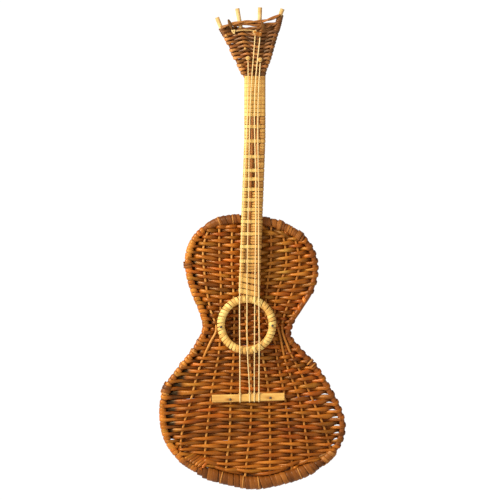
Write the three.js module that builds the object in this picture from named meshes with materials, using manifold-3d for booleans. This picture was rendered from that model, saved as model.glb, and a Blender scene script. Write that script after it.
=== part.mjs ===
// A woven willow wall guitar: a flat figure-of-eight panel of basketwork on a bent rim rod, with a
// cane-wound neck, a woven head, a wound soundhole hoop, a split-cane bridge and four cords.
// Millimetres. It hangs upright: +Z up, +X right, the front faces -Y and the wall is the plane y = 0.
// The origin is where a wall hook holds the head's top strand.
import * as THREE from 'three';
import { mergeVertices } from 'three/addons/utils/BufferGeometryUtils.js';
import Module from 'manifold-3d';

const wasm = await Module();
wasm.setup();

// ---------- driving dimensions ----------
const GAP = 0.3;                    // clearance between touching pieces

const PANEL_Y = -8;                 // middle plane of the woven panel
const RIM_RADIUS = 2.75;
const RIM_STEPS = 96;
const STAKE_RADIUS = 1.3;
const STAKE_STEPS = 16;
const TOP_BINDING = 6.25;           // half thickness of the wound rim at the top
const BOTTOM_BINDING = 8;           // and at the bottom, where it touches the wall

const WEAVERS = 14;
const ROWS_PER_WEAVER = 5;
const ROW_PITCH = 4.45;
const PITCH_SWING = 0.1;            // thick and thin rods alternate
const FIRST_ROW_Z = -258;
const WEAVER_DEPTH = 1.15;          // half thickness of a weaver, front to back
const WEAVER_OFFSET = 3.6;          // from the panel's middle plane to a weaver on a stake
const TURN_RADIUS = 5.2;            // of a weaver going round the rim rod

const NECK_Y = -18.8;
const ROD_RADIUS = 2.5;
const ROD_OFFSETS = [-10.1, -3.4, 3.4, 10.1];
const NECK_HALF_WIDTH = 13.8;
const NECK_HALF_DEPTH = 3.8;
const WRAP_WALL = 0.8;

const HEAD_ROWS = 24;
const HEAD_ROWS_PER_WEAVER = 8;
const HEAD_PITCH = 2.3;
const HEAD_FIRST_ROW_Z = -13.5;
const HEAD_WEAVER_DEPTH = 0.85;
const HEAD_OFFSET = 4.3;
const HEAD_TURN_RADIUS = 4.2;

const RING_X = -4.2;
const RING_Z = -381.6;
const RING_RADIUS = 33;
const RING_TUBE = 5.1;
const RING_Y = -13.6 - RING_TUBE;

const BRIDGE_X = -2.2;
const BRIDGE_Z = -474.2;
const BRIDGE_LENGTH = 92;
const BRIDGE_WIDTH = 10;
const BRIDGE_THICKNESS = 3.4;
const BRIDGE_BACK = -13.6;
const BRIDGE_TILT = THREE.MathUtils.degToRad(1.7);

const STRING_RADIUS = 0.75;
const STRING_Y = -25.2;
const STRING_Y_AT_BRIDGE = BRIDGE_BACK - BRIDGE_THICKNESS - STRING_RADIUS - GAP;

// ---------- outlines, as [x, z] ----------
// Middle line of the rim rod, clockwise from the right side of the waist.
const RIM_OUTLINE = [
  [47.9, -395.5], [58.3, -410], [82, -436.2], [100.7, -466.3], [112.8, -491.4], [117.2, -510],
  [113.2, -529.9], [97.1, -551.5], [77.7, -563.6], [38.6, -577.7], [7.5, -583], [-28.6, -577.7],
  [-68.7, -564], [-91.7, -547.4], [-105.3, -526.8], [-110.8, -501.7], [-106.7, -465.3],
  [-86.9, -436.1], [-69.3, -413.4], [-56.2, -384.4], [-61.4, -362.8], [-71.1, -339.7],
  [-77.6, -314.4], [-77.3, -289.4], [-66.9, -268.8], [-50.8, -255.9], [-19.7, -248], [7.2, -249.5],
  [35.9, -254.8], [57.9, -266.2], [71.5, -277.5], [81.1, -297.1], [82.2, -318.2], [76.6, -339],
  [62.6, -361.9], [49.4, -384.4],
];
const TOP_BINDING_SPAN = [-58, 54];
const BOTTOM_BINDING_SPAN = [-71, 86];

// The upright stakes of the panel, left to right, from top to bottom.
const STAKES = [
  [[-51.5, -264], [-56.3, -272], [-59.3, -289.6], [-58.4, -312.4], [-50, -362], [-43.2, -389.9],
    [-50, -402.6], [-59.3, -424.2], [-75.3, -477.5], [-86.6, -523.2], [-88.7, -539]],
  [[-39.4, -261.2], [-38.5, -287], [-37, -346.7], [-39.4, -414], [-50, -477.5], [-54.6, -515.6],
    [-58, -556.5]],
  [[-23.1, -256.8], [-22.9, -299.7], [-19.8, -382.3], [-20.8, -414], [-24.5, -481.3],
    [-26.4, -525.8], [-31.6, -566]],
  [[-8.9, -256.2], [-6.4, -363.2], [-0.6, -426.7], [2.2, -483.9], [-2.2, -537.2], [-6.4, -571]],
  [[10.2, -258.2], [8.9, -363.2], [15.2, -414], [24.5, -480.1], [25.4, -515.6], [25.4, -569.8]],
  [[27.3, -261.4], [26.2, -299.7], [21.6, -337.8], [20.7, -375.9], [30.4, -401.3], [36.8, -435.6],
    [45.5, -483.9], [52.3, -537.2], [53, -561.6]],
  [[40.6, -267], [46.2, -302.3], [36.2, -337.8], [31.5, -363.2], [38.9, -401.3], [43.2, -420.4],
    [62.5, -477.5], [69.3, -509.3], [76.4, -551]],
  [[56.1, -274.3], [63.1, -302.3], [54.6, -337.8], [46.2, -363.2], [40.6, -386.1], [47, -407.7],
    [69.2, -452.1], [81.9, -483.9], [95.5, -515.6], [101.6, -530.5]],
];

// How far a row's ends rise above its middle, as [height of the row, rise].
const LEFT_RISE = [
  [-258, 3], [-295, 7], [-345, 6], [-395, 2], [-440, 0], [-490, -2], [-525, -4], [-575, 4],
];
const RIGHT_RISE = [
  [-258, 4], [-295, 8], [-345, 6], [-395, 4], [-435, 6], [-475, 5], [-515, 0], [-575, 6],
];
const RISE_START = 15;              // the middle of a row is level this far out
const RISE_SPAN = 85;

// Middle line of the neck, and the four rods above it, from the neck up to their peeled tips.
const NECK_LINE = [
  [-0.9, -342.2], [0.9, -290], [2.5, -243], [3.75, -211], [6.1, -147], [6.2, -72],
];
const HEAD_RODS = [
  [[-11.5, -55.8], [-19.7, -39.5], [-30.5, -16.1], [-36.4, -5.8], [-41.8, 7.6]],
  [[-1.5, -44], [-8, -21.3], [-13.2, 2.7], [-16.1, 19]],
  [[8.3, -45.7], [10.8, -20.3], [12.3, 4.6], [12.7, 20.3]],
  [[16.9, -62], [22.5, -47.2], [29, -24.6], [36, 0], [38.7, 11.4], [41.3, 18.5]],
];
// Upper and lower end of each window in the neck's winding, between one fret band and the next.
const NECK_WINDOWS = [
  [-118, -128], [-134, -146], [-152.5, -166], [-171.5, -184], [-189, -195], [-199, -208],
  [-213, -221], [-226, -233.5], [-239, -248.5], [-254, -263.5], [-269, -279.5], [-286, -298],
  [-304.5, -319.5],
];
const WINDOW_HALF_WIDTH = 6.6;

// The cords: each peg, then the cord's x at the levels in STRING_LEVELS.
const STRING_LEVELS = [-71, -223.5, -350.5, -412, -467, -478.6];
const STRINGS = [
  { peg: [-2.5, -44.5], xs: [-2.3, -8.1, -13.1, -12.9, -12.7, -12.6] },
  { peg: [6.4, -11.4], xs: [2.2, -1.9, -3.8, -3.4, -0.6, -0.5] },
  { peg: [12.4, -14], xs: [7.2, 7.6, 6.1, 5.7, 5.5, 5.4] },
  { peg: [12.8, -46.4], xs: [11.6, 10.8, 11.2, 11.6, 11.3, 11.3] },
];

// ---------- materials ----------
const finish = (color, roughness) => new THREE.MeshStandardMaterial({ color, roughness, metalness: 0 });
const brownWillow = finish(0x9a5a22, 0.4);
const stakeWillow = finish(0xc98a44, 0.45);
const rimWillow = finish(0xb06a2c, 0.4);
const paleCane = finish(0xe8c070, 0.45);
const cordFibre = finish(0xe6cd8a, 0.8);
const steel = new THREE.MeshStandardMaterial({ color: 0x3c3c38, roughness: 0.5, metalness: 1 });

// ---------- helpers ----------
const object = new THREE.Group();

function addNode(name, geometry, material) {
  const mesh = new THREE.Mesh(geometry, material);
  mesh.name = name;
  object.add(mesh);
  return mesh;
}

const at = (x, y, z) => new THREE.Vector3(x, y, z);

// A path that visits its points one by one, so an extrusion along it has one section at each.
// The section's first axis stays as near as it can to the direction firstAxis.
class PointPath extends THREE.Curve {
  constructor(points, firstAxis) {
    super();
    this.points = points;
    this.steps = points.length - 1;
    this.firstAxis = firstAxis;
  }

  getPoint(t, target = new THREE.Vector3()) {
    const place = t * this.steps;
    const i = Math.min(Math.floor(place), this.steps - 1);
    return target.lerpVectors(this.points[i], this.points[i + 1], place - i);
  }

  getUtoTmapping(u) {
    return u;
  }

  getTangent(t, target = new THREE.Vector3()) {
    const i = Math.round(t * this.steps);
    const here = this.points[i];
    const arriving = here.clone().sub(this.points[Math.max(i - 1, 0)]).normalize();
    const leaving = this.points[Math.min(i + 1, this.steps)].clone().sub(here).normalize();
    return target.addVectors(arriving, leaving).normalize();
  }

  computeFrenetFrames(segments) {
    const tangents = Array.from({ length: segments + 1 }, (_, i) => this.getTangent(i / segments));
    const normals = tangents.map(
      (tangent) => this.firstAxis.clone().projectOnPlane(tangent).normalize(),
    );
    const binormals = tangents.map((tangent, i) => tangent.clone().cross(normals[i]));
    return { tangents, normals, binormals };
  }
}

// A regular polygon with flat sides across both axes when it has eight sides.
function roundSection(sides, apothem) {
  const radius = apothem / Math.cos(Math.PI / sides);
  const corners = [];
  for (let i = 0; i < sides; i++) {
    const angle = ((i + 0.5) / sides) * 2 * Math.PI;
    corners.push(new THREE.Vector2(radius * Math.cos(angle), radius * Math.sin(angle)));
  }
  return new THREE.Shape(corners);
}

function boxSection(halfX, halfY, corner = 0) {
  const c = corner;
  const points = c === 0
    ? [[halfX, halfY], [-halfX, halfY], [-halfX, -halfY], [halfX, -halfY]]
    : [[halfX, halfY - c], [halfX - c, halfY], [c - halfX, halfY], [-halfX, halfY - c],
      [-halfX, c - halfY], [c - halfX, -halfY], [halfX - c, -halfY], [halfX, c - halfY]];
  return new THREE.Shape(points.map(([x, y]) => new THREE.Vector2(x, y)));
}

function extrudeAlong(points, section, firstAxis = at(0, 1, 0)) {
  const path = new PointPath(points, firstAxis);
  return new THREE.ExtrudeGeometry(section, {
    steps: path.steps, extrudePath: path, bevelEnabled: false,
  });
}

function toSolid(geometry) {
  const bare = geometry.clone();
  bare.deleteAttribute('normal');
  bare.deleteAttribute('uv');
  const merged = mergeVertices(bare, 1e-4);
  return new wasm.Manifold(new wasm.Mesh({
    numProp: 3,
    vertProperties: new Float32Array(merged.attributes.position.array),
    triVerts: new Uint32Array(merged.index.array),
  }));
}

function cutAway(geometry, tools) {
  let solid = toSolid(geometry);
  for (const tool of tools) {
    solid = solid.subtract(toSolid(tool));
  }
  const mesh = solid.getMesh();
  const result = new THREE.BufferGeometry();
  result.setAttribute('position', new THREE.BufferAttribute(mesh.vertProperties, 3));
  result.setIndex(new THREE.BufferAttribute(mesh.triVerts, 1));
  result.computeVertexNormals();
  return result;
}

// The value of a line given by [position, value] knots, falling from the first position down.
function lineValue(knots, position) {
  for (let i = 1; i < knots.length; i++) {
    const [upper, upperValue] = knots[i - 1];
    const [lower, lowerValue] = knots[i];
    if (position >= lower || i === knots.length - 1) {
      const share = THREE.MathUtils.clamp((upper - position) / (upper - lower), 0, 1);
      return THREE.MathUtils.lerp(upperValue, lowerValue, share);
    }
  }
  return 0;
}

// ---------- rim ----------
const rimCurve = new THREE.CatmullRomCurve3(RIM_OUTLINE.map(([x, z]) => at(x, PANEL_Y, z)), true);
const rimLine = rimCurve.getSpacedPoints(RIM_STEPS);

addNode('rim_rod', new THREE.TubeGeometry(rimCurve, RIM_STEPS, RIM_RADIUS, 8, true), rimWillow);

const isHigh = (point) => point.z > -330;
function isBound(point, margin = 0) {
  const [from, to] = isHigh(point) ? TOP_BINDING_SPAN : BOTTOM_BINDING_SPAN;
  const nearRim = isHigh(point) ? point.z > -272 - margin : point.z < margin - 553;
  return nearRim && point.x > from - margin && point.x < to + margin;
}

// The rim's winding is a sleeve with the rim rod running through it.
function addBinding(name, high, halfThickness) {
  const span = rimLine.filter((point) => isBound(point) && isHigh(point) === high);
  const section = roundSection(8, halfThickness);
  section.holes.push(roundSection(8, RIM_RADIUS + GAP));
  addNode(name, extrudeAlong(span, section), rimWillow);
}
addBinding('top_binding', true, TOP_BINDING);
addBinding('bottom_binding', false, BOTTOM_BINDING);

// ---------- stakes ----------
const stakeLines = STAKES.map((points) => {
  const curve = new THREE.CatmullRomCurve3(points.map(([x, z]) => at(x, PANEL_Y, z)));
  return curve.getSpacedPoints(STAKE_STEPS);
});
stakeLines.forEach((points, i) => {
  addNode(`stake_${i + 1}`, extrudeAlong(points, roundSection(6, STAKE_RADIUS)), stakeWillow);
});

// ---------- weaving ----------
// Where a row crosses a line, taking the crossing furthest to one side (-1 left, 1 right).
function crossing(line, rowZ, side) {
  let best = null;
  for (let i = 0; i + 1 < line.length; i++) {
    const a = line[i];
    const b = line[i + 1];
    const heightA = a.z - rowZ(a.x);
    const heightB = b.z - rowZ(b.x);
    if ((heightA > 0) === (heightB > 0)) continue;
    const point = a.clone().lerp(b, heightA / (heightA - heightB));
    if (best && (point.x - best.point.x) * side < 0) continue;
    const along = b.clone().sub(a).normalize();
    const outward = at(along.z, 0, -along.x);
    if (outward.x * side < 0) outward.negate();
    const nearby = line.slice(Math.max(i - 1, 0), i + 3);
    best = { point, outward, bare: !nearby.some((each) => isBound(each)) };
  }
  return best;
}

// Lengthens a line a little past both ends, so a row just beyond an end still passes round it.
function lengthen(line, amount) {
  const first = line[0].clone().add(line[0].clone().sub(line[1]).setLength(amount));
  const last = line[line.length - 1];
  const beyond = last.clone().add(last.clone().sub(line[line.length - 2]).setLength(amount));
  return [first, ...line, beyond];
}

// A rod woven to and fro. fabric gives its rows, uprights and edges, and state.side carries on
// from one weaver to the next: -1 in front of the middle plane, 1 behind it.
function weaverPoints(fabric, rows, state) {
  const points = [];
  const { y, offset, turnRadius, minGap, edgeGap } = fabric;
  rows.forEach((row, index) => {
    const rowZ = (x) => fabric.rowZ(row, x);
    const direction = row % 2 === 0 ? 1 : -1;
    const start = fabric.edge(row, -direction);
    const end = fabric.edge(row, direction);
    if (index === 0) points.push(endPoint(start, state.side));
    const uprights = fabric.uprights
      .map((line) => crossing(line, rowZ, 1))
      .filter((found) => found !== null)
      .map((found) => found.point.x)
      .filter((x) => (x - start.point.x) * direction > 5 && (end.point.x - x) * direction > 5)
      .sort((a, b) => (a - b) * direction);
    let previous = start.point.x;
    let needed = edgeGap;
    for (const x of uprights) {
      if (Math.abs(x - previous) > needed) state.side *= -1;
      points.push(at(x, y + state.side * offset, rowZ(x)));
      previous = x;
      needed = minGap;
    }
    if (Math.abs(end.point.x - previous) > edgeGap) state.side *= -1;
    const isLast = index === rows.length - 1;
    if (isLast) {
      points.push(endPoint(end, state.side));
    } else {
      const next = fabric.edge(row + 1, direction);
      points.push(...turnPoints(end, next, state.side));
    }
    state.side *= -1;
  });
  return points;

  function endPoint(edge, side) {
    return at(edge.point.x, y + side * (edge.bare ? turnRadius : offset), edge.point.z);
  }

  function turnPoints(from, to, side) {
    if (!from.bare || !to.bare) return [endPoint(from, side), endPoint(to, -side)];
    const angles = [-20, 35, 90, 145, 200];
    return angles.map((degrees) => {
      const angle = THREE.MathUtils.degToRad(degrees);
      const share = (degrees - angles[0]) / (angles[angles.length - 1] - angles[0]);
      const outward = from.outward.clone().lerp(to.outward, share).normalize();
      return from.point.clone().lerp(to.point, share)
        .addScaledVector(outward, turnRadius * Math.sin(angle))
        .add(at(0, side * turnRadius * Math.cos(angle), 0));
    });
  }
}

// The smallest distance between neighbouring rows, which the weaver's height must fit.
function tightestPitch(fabric, rows) {
  let tightest = Infinity;
  for (let row = rows[0] - 1; row <= rows[rows.length - 1]; row++) {
    if (row < 0 || row + 1 >= fabric.rowCount) continue;
    for (const side of [-1, 1]) {
      const x = fabric.edge(row, side).point.x;
      for (const place of [x, x / 2, 0]) {
        tightest = Math.min(tightest, fabric.rowZ(row, place) - fabric.rowZ(row + 1, place));
      }
    }
  }
  return tightest;
}

function addWeavers(name, fabric, count, rowsEach, halfDepth, material) {
  const state = { side: -1 };
  for (let i = 0; i < count; i++) {
    const rows = Array.from({ length: rowsEach }, (_, k) => i * rowsEach + k);
    const halfHeight = (tightestPitch(fabric, rows) - fabric.rowGap) / 2;
    const points = weaverPoints(fabric, rows, state);
    const label = String(i + 1).padStart(2, '0');
    const section = boxSection(halfHeight, halfDepth);
    addNode(`${name}_${label}`, extrudeAlong(points, section, at(0, 0, 1)), material);
  }
}

const bodyRows = [];
for (let weaver = 0, height = FIRST_ROW_Z; weaver < WEAVERS; weaver++) {
  const pitch = ROW_PITCH * (1 + PITCH_SWING * Math.sin(2.3 * weaver));
  for (let k = 0; k < ROWS_PER_WEAVER; k++) {
    bodyRows.push(height);
    height -= pitch;
  }
}

function bodyRowZ(row, x) {
  const rise = lineValue(x < 0 ? LEFT_RISE : RIGHT_RISE, bodyRows[row]);
  const out = Math.max(0, Math.abs(x) - RISE_START) / RISE_SPAN;
  return bodyRows[row] + rise * out * out;
}

// A row that would meet the wound part of the rim turns back just inside it.
const rimMiddle = at(0, PANEL_Y, -420);
const innerLine = rimLine.map((point, i) => {
  const before = rimLine[Math.max(i - 1, 0)];
  const after = rimLine[Math.min(i + 1, rimLine.length - 1)];
  const along = after.clone().sub(before).normalize();
  const inward = at(along.z, 0, -along.x);
  const towards = isHigh(point) ? at(0, PANEL_Y, -310) : rimMiddle;
  if (inward.dot(towards.clone().sub(point)) < 0) inward.negate();
  const winding = isHigh(point) ? TOP_BINDING : BOTTOM_BINDING;
  const room = isBound(point, 7) ? winding : RIM_RADIUS;
  return point.clone().addScaledVector(inward, room * 1.08 + WEAVER_DEPTH + 1.2);
});

const uprightLines = stakeLines.map((points) => lengthen(points, 3));
const UPRIGHT_ROOM = 5.2;           // from the middle of an upright to where a row turns back

function innerEdge(rowZ, side) {
  const edge = crossing(innerLine, rowZ, side);
  for (const line of uprightLines) {
    const upright = crossing(line, rowZ, side);
    if (upright && Math.abs(upright.point.x - edge.point.x) < UPRIGHT_ROOM) {
      edge.point.x = upright.point.x - side * UPRIGHT_ROOM;
    }
  }
  return edge;
}

// Two rows joined by a turn end alike: both round the bare rim, or both inside its winding.
const bodyEdges = new Map();
function bodyEdge(row, side) {
  const key = `${row} ${side}`;
  if (!bodyEdges.has(key)) {
    const joined = (row % 2 === 0) === (side === 1) ? row + 1 : row - 1;
    const pair = [row, joined].filter((each) => each >= 0 && each < bodyRows.length);
    const onRim = pair.map((each) => crossing(rimLine, (x) => bodyRowZ(each, x), side));
    if (onRim.every((edge) => edge.bare)) {
      bodyEdges.set(key, onRim[0]);
    } else {
      const edges = pair.map((each) => innerEdge((x) => bodyRowZ(each, x), side));
      const reach = Math.min(...edges.map((edge) => edge.point.x * side));
      const point = at(reach * side, PANEL_Y, bodyRowZ(row, reach * side));
      bodyEdges.set(key, { point, bare: false });
    }
  }
  return bodyEdges.get(key);
}

const bodyFabric = {
  y: PANEL_Y,
  offset: WEAVER_OFFSET,
  turnRadius: TURN_RADIUS,
  minGap: 10.7,
  edgeGap: 15.5,
  rowGap: 0.5,
  rowCount: bodyRows.length,
  rowZ: bodyRowZ,
  edge: bodyEdge,
  uprights: uprightLines,
};
addWeavers('weaver', bodyFabric, WEAVERS, ROWS_PER_WEAVER, WEAVER_DEPTH, brownWillow);

// ---------- neck and head ----------
const rodLines = ROD_OFFSETS.map((offset, i) => [
  ...NECK_LINE.map(([x, z]) => at(x + offset, NECK_Y, z)),
  ...HEAD_RODS[i].map(([x, z]) => at(x, NECK_Y, z)),
]);
rodLines.forEach((points, i) => {
  addNode(`neck_rod_${i + 1}`, extrudeAlong(points, roundSection(8, ROD_RADIUS)), paleCane);
});

const neckSection = boxSection(NECK_HALF_DEPTH, NECK_HALF_WIDTH, 2);
neckSection.holes.push(
  boxSection(NECK_HALF_DEPTH - WRAP_WALL, NECK_HALF_WIDTH - WRAP_WALL, 1.2),
);
const neckPath = NECK_LINE.map(([x, z]) => at(x, NECK_Y, z));
const neckX = (z) => lineValue(NECK_LINE.map(([x, height]) => [height, x]).reverse(), z);
const windows = NECK_WINDOWS.map(([top, bottom]) => {
  const middle = (top + bottom) / 2;
  const tool = new THREE.BoxGeometry(2 * WINDOW_HALF_WIDTH, 2, top - bottom);
  return tool.translate(neckX(middle) + 0.8, NECK_Y - NECK_HALF_DEPTH, middle);
});
addNode('neck_wrap', cutAway(extrudeAlong(neckPath, neckSection), windows), paleCane);

const headRowZ = (row) => HEAD_FIRST_ROW_Z - row * HEAD_PITCH;
const headFabric = {
  y: NECK_Y,
  offset: HEAD_OFFSET,
  turnRadius: HEAD_TURN_RADIUS,
  minGap: 14.6,
  edgeGap: 14.6,
  rowGap: 0.35,
  rowCount: HEAD_ROWS,
  rowZ: headRowZ,
  edge: (row, side) => {
    const line = side < 0 ? rodLines[0] : rodLines[3];
    return { ...crossing(line, () => headRowZ(row), side), bare: true };
  },
  uprights: [rodLines[1], rodLines[2]],
};
addWeavers('head_weaver', headFabric, HEAD_ROWS / HEAD_ROWS_PER_WEAVER, HEAD_ROWS_PER_WEAVER,
  HEAD_WEAVER_DEPTH, brownWillow);

// Loose strands across the top of the head. The hook goes under the first one.
function addStrand(name, outline, radius, material) {
  const y = NECK_Y - ROD_RADIUS / Math.cos(Math.PI / 8) - radius * 1.1 - GAP;
  const points = outline.map(([x, z]) => at(x, y, z));
  addNode(name, extrudeAlong(points, roundSection(6, radius)), material);
}
addStrand('head_top_strand', [
  [-38, -3.4], [-26.7, -1.4], [-12.7, 1.2], [0, 1.7], [12.2, 2], [25.4, 5.7], [39.4, 11],
], 1.5, brownWillow);
addStrand('head_lower_strand', [[-14.5, -6.9], [0, -7.2], [14, -6.8]], 1, brownWillow);
addStrand('head_twine', [[-19, -10], [-8, -9.6], [4, -9.5]], 0.6, cordFibre);

// ---------- nails ----------
// A nail along +Y, with the back of its head at y = 0.
function nailGeometry(headRadius, length) {
  const shank = headRadius * 0.5;
  const profile = [
    [0, -0.8], [headRadius * 0.6, -0.7], [headRadius, -0.3], [headRadius, 0], [shank, 0],
    [shank, length - 1.2], [0, length],
  ];
  return new THREE.LatheGeometry(profile.map(([r, y]) => new THREE.Vector2(r, y)), 8);
}
const nailHole = (headRadius) => new THREE.CylinderGeometry(
  headRadius * 0.5 + GAP, headRadius * 0.5 + GAP, 30, 8,
);

// ---------- soundhole hoop ----------
const RING_NAIL_HEAD = 1.5;
const ringNails = [{ name: 'left', degrees: 184.9 }, { name: 'right', degrees: -2.2 }];
const ringNailPlaces = ringNails.map(({ degrees }) => {
  const angle = THREE.MathUtils.degToRad(degrees);
  return at(RING_X + RING_RADIUS * Math.cos(angle), 0, RING_Z + RING_RADIUS * Math.sin(angle));
});
const ringHoles = () => ringNailPlaces.map(
  (place) => nailHole(RING_NAIL_HEAD).translate(place.x, RING_Y, place.z),
);

const core = new THREE.TorusGeometry(RING_RADIUS, 3, 6, 32);
core.rotateX(Math.PI / 2).translate(RING_X, RING_Y, RING_Z);
addNode('soundhole_ring_core', cutAway(core, ringHoles()), stakeWillow);

// The hoop's cane winding is open along its back.
const slit = THREE.MathUtils.degToRad(25);
function arcPoints(radius, from, to, steps) {
  return Array.from({ length: steps + 1 }, (_, i) => {
    const angle = THREE.MathUtils.lerp(from, to, i / steps);
    return new THREE.Vector2(RING_RADIUS + radius * Math.cos(angle), radius * Math.sin(angle));
  });
}
const wrapProfile = [
  ...arcPoints(RING_TUBE, Math.PI / 2 + slit, Math.PI * 2.5 - slit, 8),
  ...arcPoints(3 + GAP + 0.3, Math.PI * 2.5 - slit, Math.PI / 2 + slit, 6),
];
wrapProfile.push(wrapProfile[0].clone());
const ringWrap = new THREE.LatheGeometry(wrapProfile, 32).translate(RING_X, RING_Y, RING_Z);
addNode('soundhole_ring_wrap', cutAway(ringWrap, ringHoles()), paleCane);

ringNails.forEach(({ name }, i) => {
  const nail = nailGeometry(RING_NAIL_HEAD, 2 * RING_TUBE);
  const mesh = addNode(`ring_nail_${name}`, nail, steel);
  mesh.position.copy(ringNailPlaces[i]).setY(RING_Y - RING_TUBE - GAP);
});

// ---------- bridge ----------
const BRIDGE_NAIL_HEAD = 1.3;
const bridgeNails = [
  { name: 'left', along: -22.9, across: -1.6 }, { name: 'right', along: 28.1, across: -1.1 },
];
const bridgeShape = boxSection(BRIDGE_LENGTH / 2, BRIDGE_WIDTH / 2, 0.8);
for (const { along, across } of bridgeNails) {
  const hole = roundSection(8, BRIDGE_NAIL_HEAD * 0.5 + GAP);
  bridgeShape.holes.push(new THREE.Path(
    hole.getPoints().map((corner) => corner.clone().add(new THREE.Vector2(along, across))),
  ));
}
const bridgeGroup = new THREE.Group();
bridgeGroup.position.set(BRIDGE_X, BRIDGE_BACK, BRIDGE_Z);
bridgeGroup.rotation.y = -BRIDGE_TILT;
object.add(bridgeGroup);

const plate = new THREE.ExtrudeGeometry(bridgeShape, { depth: BRIDGE_THICKNESS, bevelEnabled: false });
bridgeGroup.add(addNode('bridge', plate.rotateX(Math.PI / 2), paleCane));
for (const { name, along, across } of bridgeNails) {
  const nail = addNode(`bridge_nail_${name}`, nailGeometry(BRIDGE_NAIL_HEAD, BRIDGE_THICKNESS), steel);
  nail.position.set(along, -BRIDGE_THICKNESS - GAP, across);
  bridgeGroup.add(nail);
}

// ---------- cords and their pegs ----------
const PEG_RADIUS = 1.9;
const PEG_LENGTH = 5;
const PEG_BACK = NECK_Y - HEAD_OFFSET - HEAD_WEAVER_DEPTH - GAP;
STRINGS.forEach(({ peg, xs }, i) => {
  const [pegX, pegZ] = peg;
  const pegBody = new THREE.CylinderGeometry(PEG_RADIUS, PEG_RADIUS, PEG_LENGTH, 8);
  const pegMesh = addNode(`string_peg_${i + 1}`, pegBody, paleCane);
  pegMesh.position.set(pegX, PEG_BACK - PEG_LENGTH / 2, pegZ);

  const start = at(pegX, PEG_BACK - PEG_LENGTH / 2, pegZ - PEG_RADIUS - GAP - 0.6);
  const route = xs.map((x, level) => {
    const z = STRING_LEVELS[level];
    return at(x, level < 4 ? STRING_Y : STRING_Y_AT_BRIDGE, z);
  });
  const section = roundSection(6, STRING_RADIUS);
  addNode(`string_${i + 1}`, extrudeAlong([start, ...route], section), cordFibre);
});

export default object;
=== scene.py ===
# The looks of a woven willow wall guitar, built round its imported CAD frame.
# Lengths in this script are millimetres until build() turns them into metres.
import math

import bpy
import numpy as np
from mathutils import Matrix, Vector


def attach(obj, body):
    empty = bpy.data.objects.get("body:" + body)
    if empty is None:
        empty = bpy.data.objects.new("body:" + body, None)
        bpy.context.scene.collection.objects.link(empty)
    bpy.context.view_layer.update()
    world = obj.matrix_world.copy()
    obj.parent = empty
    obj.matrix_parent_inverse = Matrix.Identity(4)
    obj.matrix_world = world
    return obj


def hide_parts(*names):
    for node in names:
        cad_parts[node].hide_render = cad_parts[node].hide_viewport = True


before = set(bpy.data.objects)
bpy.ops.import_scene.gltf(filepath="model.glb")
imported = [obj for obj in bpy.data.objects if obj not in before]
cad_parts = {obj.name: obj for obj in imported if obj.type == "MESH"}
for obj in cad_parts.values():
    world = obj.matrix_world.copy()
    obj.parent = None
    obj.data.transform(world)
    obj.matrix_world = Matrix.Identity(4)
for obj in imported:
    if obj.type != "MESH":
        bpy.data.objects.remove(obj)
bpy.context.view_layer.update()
rng = np.random.default_rng(24)


def vary(amount, count=None):
    """A random number between -amount and amount, or count of them."""
    return rng.uniform(-amount, amount, count)


# ---------- places, in millimetres ----------
PANEL_Y = -8.0
RIM_RADIUS = 3.45
STAKE_RADIUS = 1.6
WEAVE_OFFSET = 3.5
WRAP_RADIUS = 4.0
NECK_Y = -18.8
ROD_RADIUS = 2.5
ROD_OFFSETS = (-10.1, -3.4, 3.4, 10.1)
RING = (-4.2, -18.7, -381.6)
RING_RADIUS = 32.6
BRIDGE = (-2.2, -13.6, -474.2)
BRIDGE_TILT = math.radians(1.7)
STRING_Y = -25.0

RIM_OUTLINE = [
    (47.9, -395.5), (58.3, -410), (82, -436.2), (100.7, -466.3), (112.8, -491.4), (117.2, -510),
    (113.2, -529.9), (97.1, -551.5), (77.7, -563.6), (38.6, -577.7), (7.5, -583), (-28.6, -577.7),
    (-68.7, -564), (-91.7, -547.4), (-105.3, -526.8), (-110.8, -501.7), (-106.7, -465.3),
    (-86.9, -436.1), (-69.3, -413.4), (-56.2, -384.4), (-61.4, -362.8), (-71.1, -339.7),
    (-77.6, -314.4), (-77.3, -289.4), (-66.9, -268.8), (-50.8, -255.9), (-19.7, -248), (7.2, -249.5),
    (35.9, -254.8), (57.9, -266.2), (71.5, -277.5), (81.1, -297.1), (82.2, -318.2), (76.6, -339),
    (62.6, -361.9), (49.4, -384.4),
]
# The bound stretches of the rim: from x to x, and beyond which height.
TOP_SPAN = (-58, 54)
BOTTOM_SPAN = (-71, 86)
TOP_BOUND_ABOVE = -272
BOTTOM_BOUND_BELOW = -553
TOP_BINDING = 5.9
BOTTOM_BINDING = 7.6
WAIST_Z = -330

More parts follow.
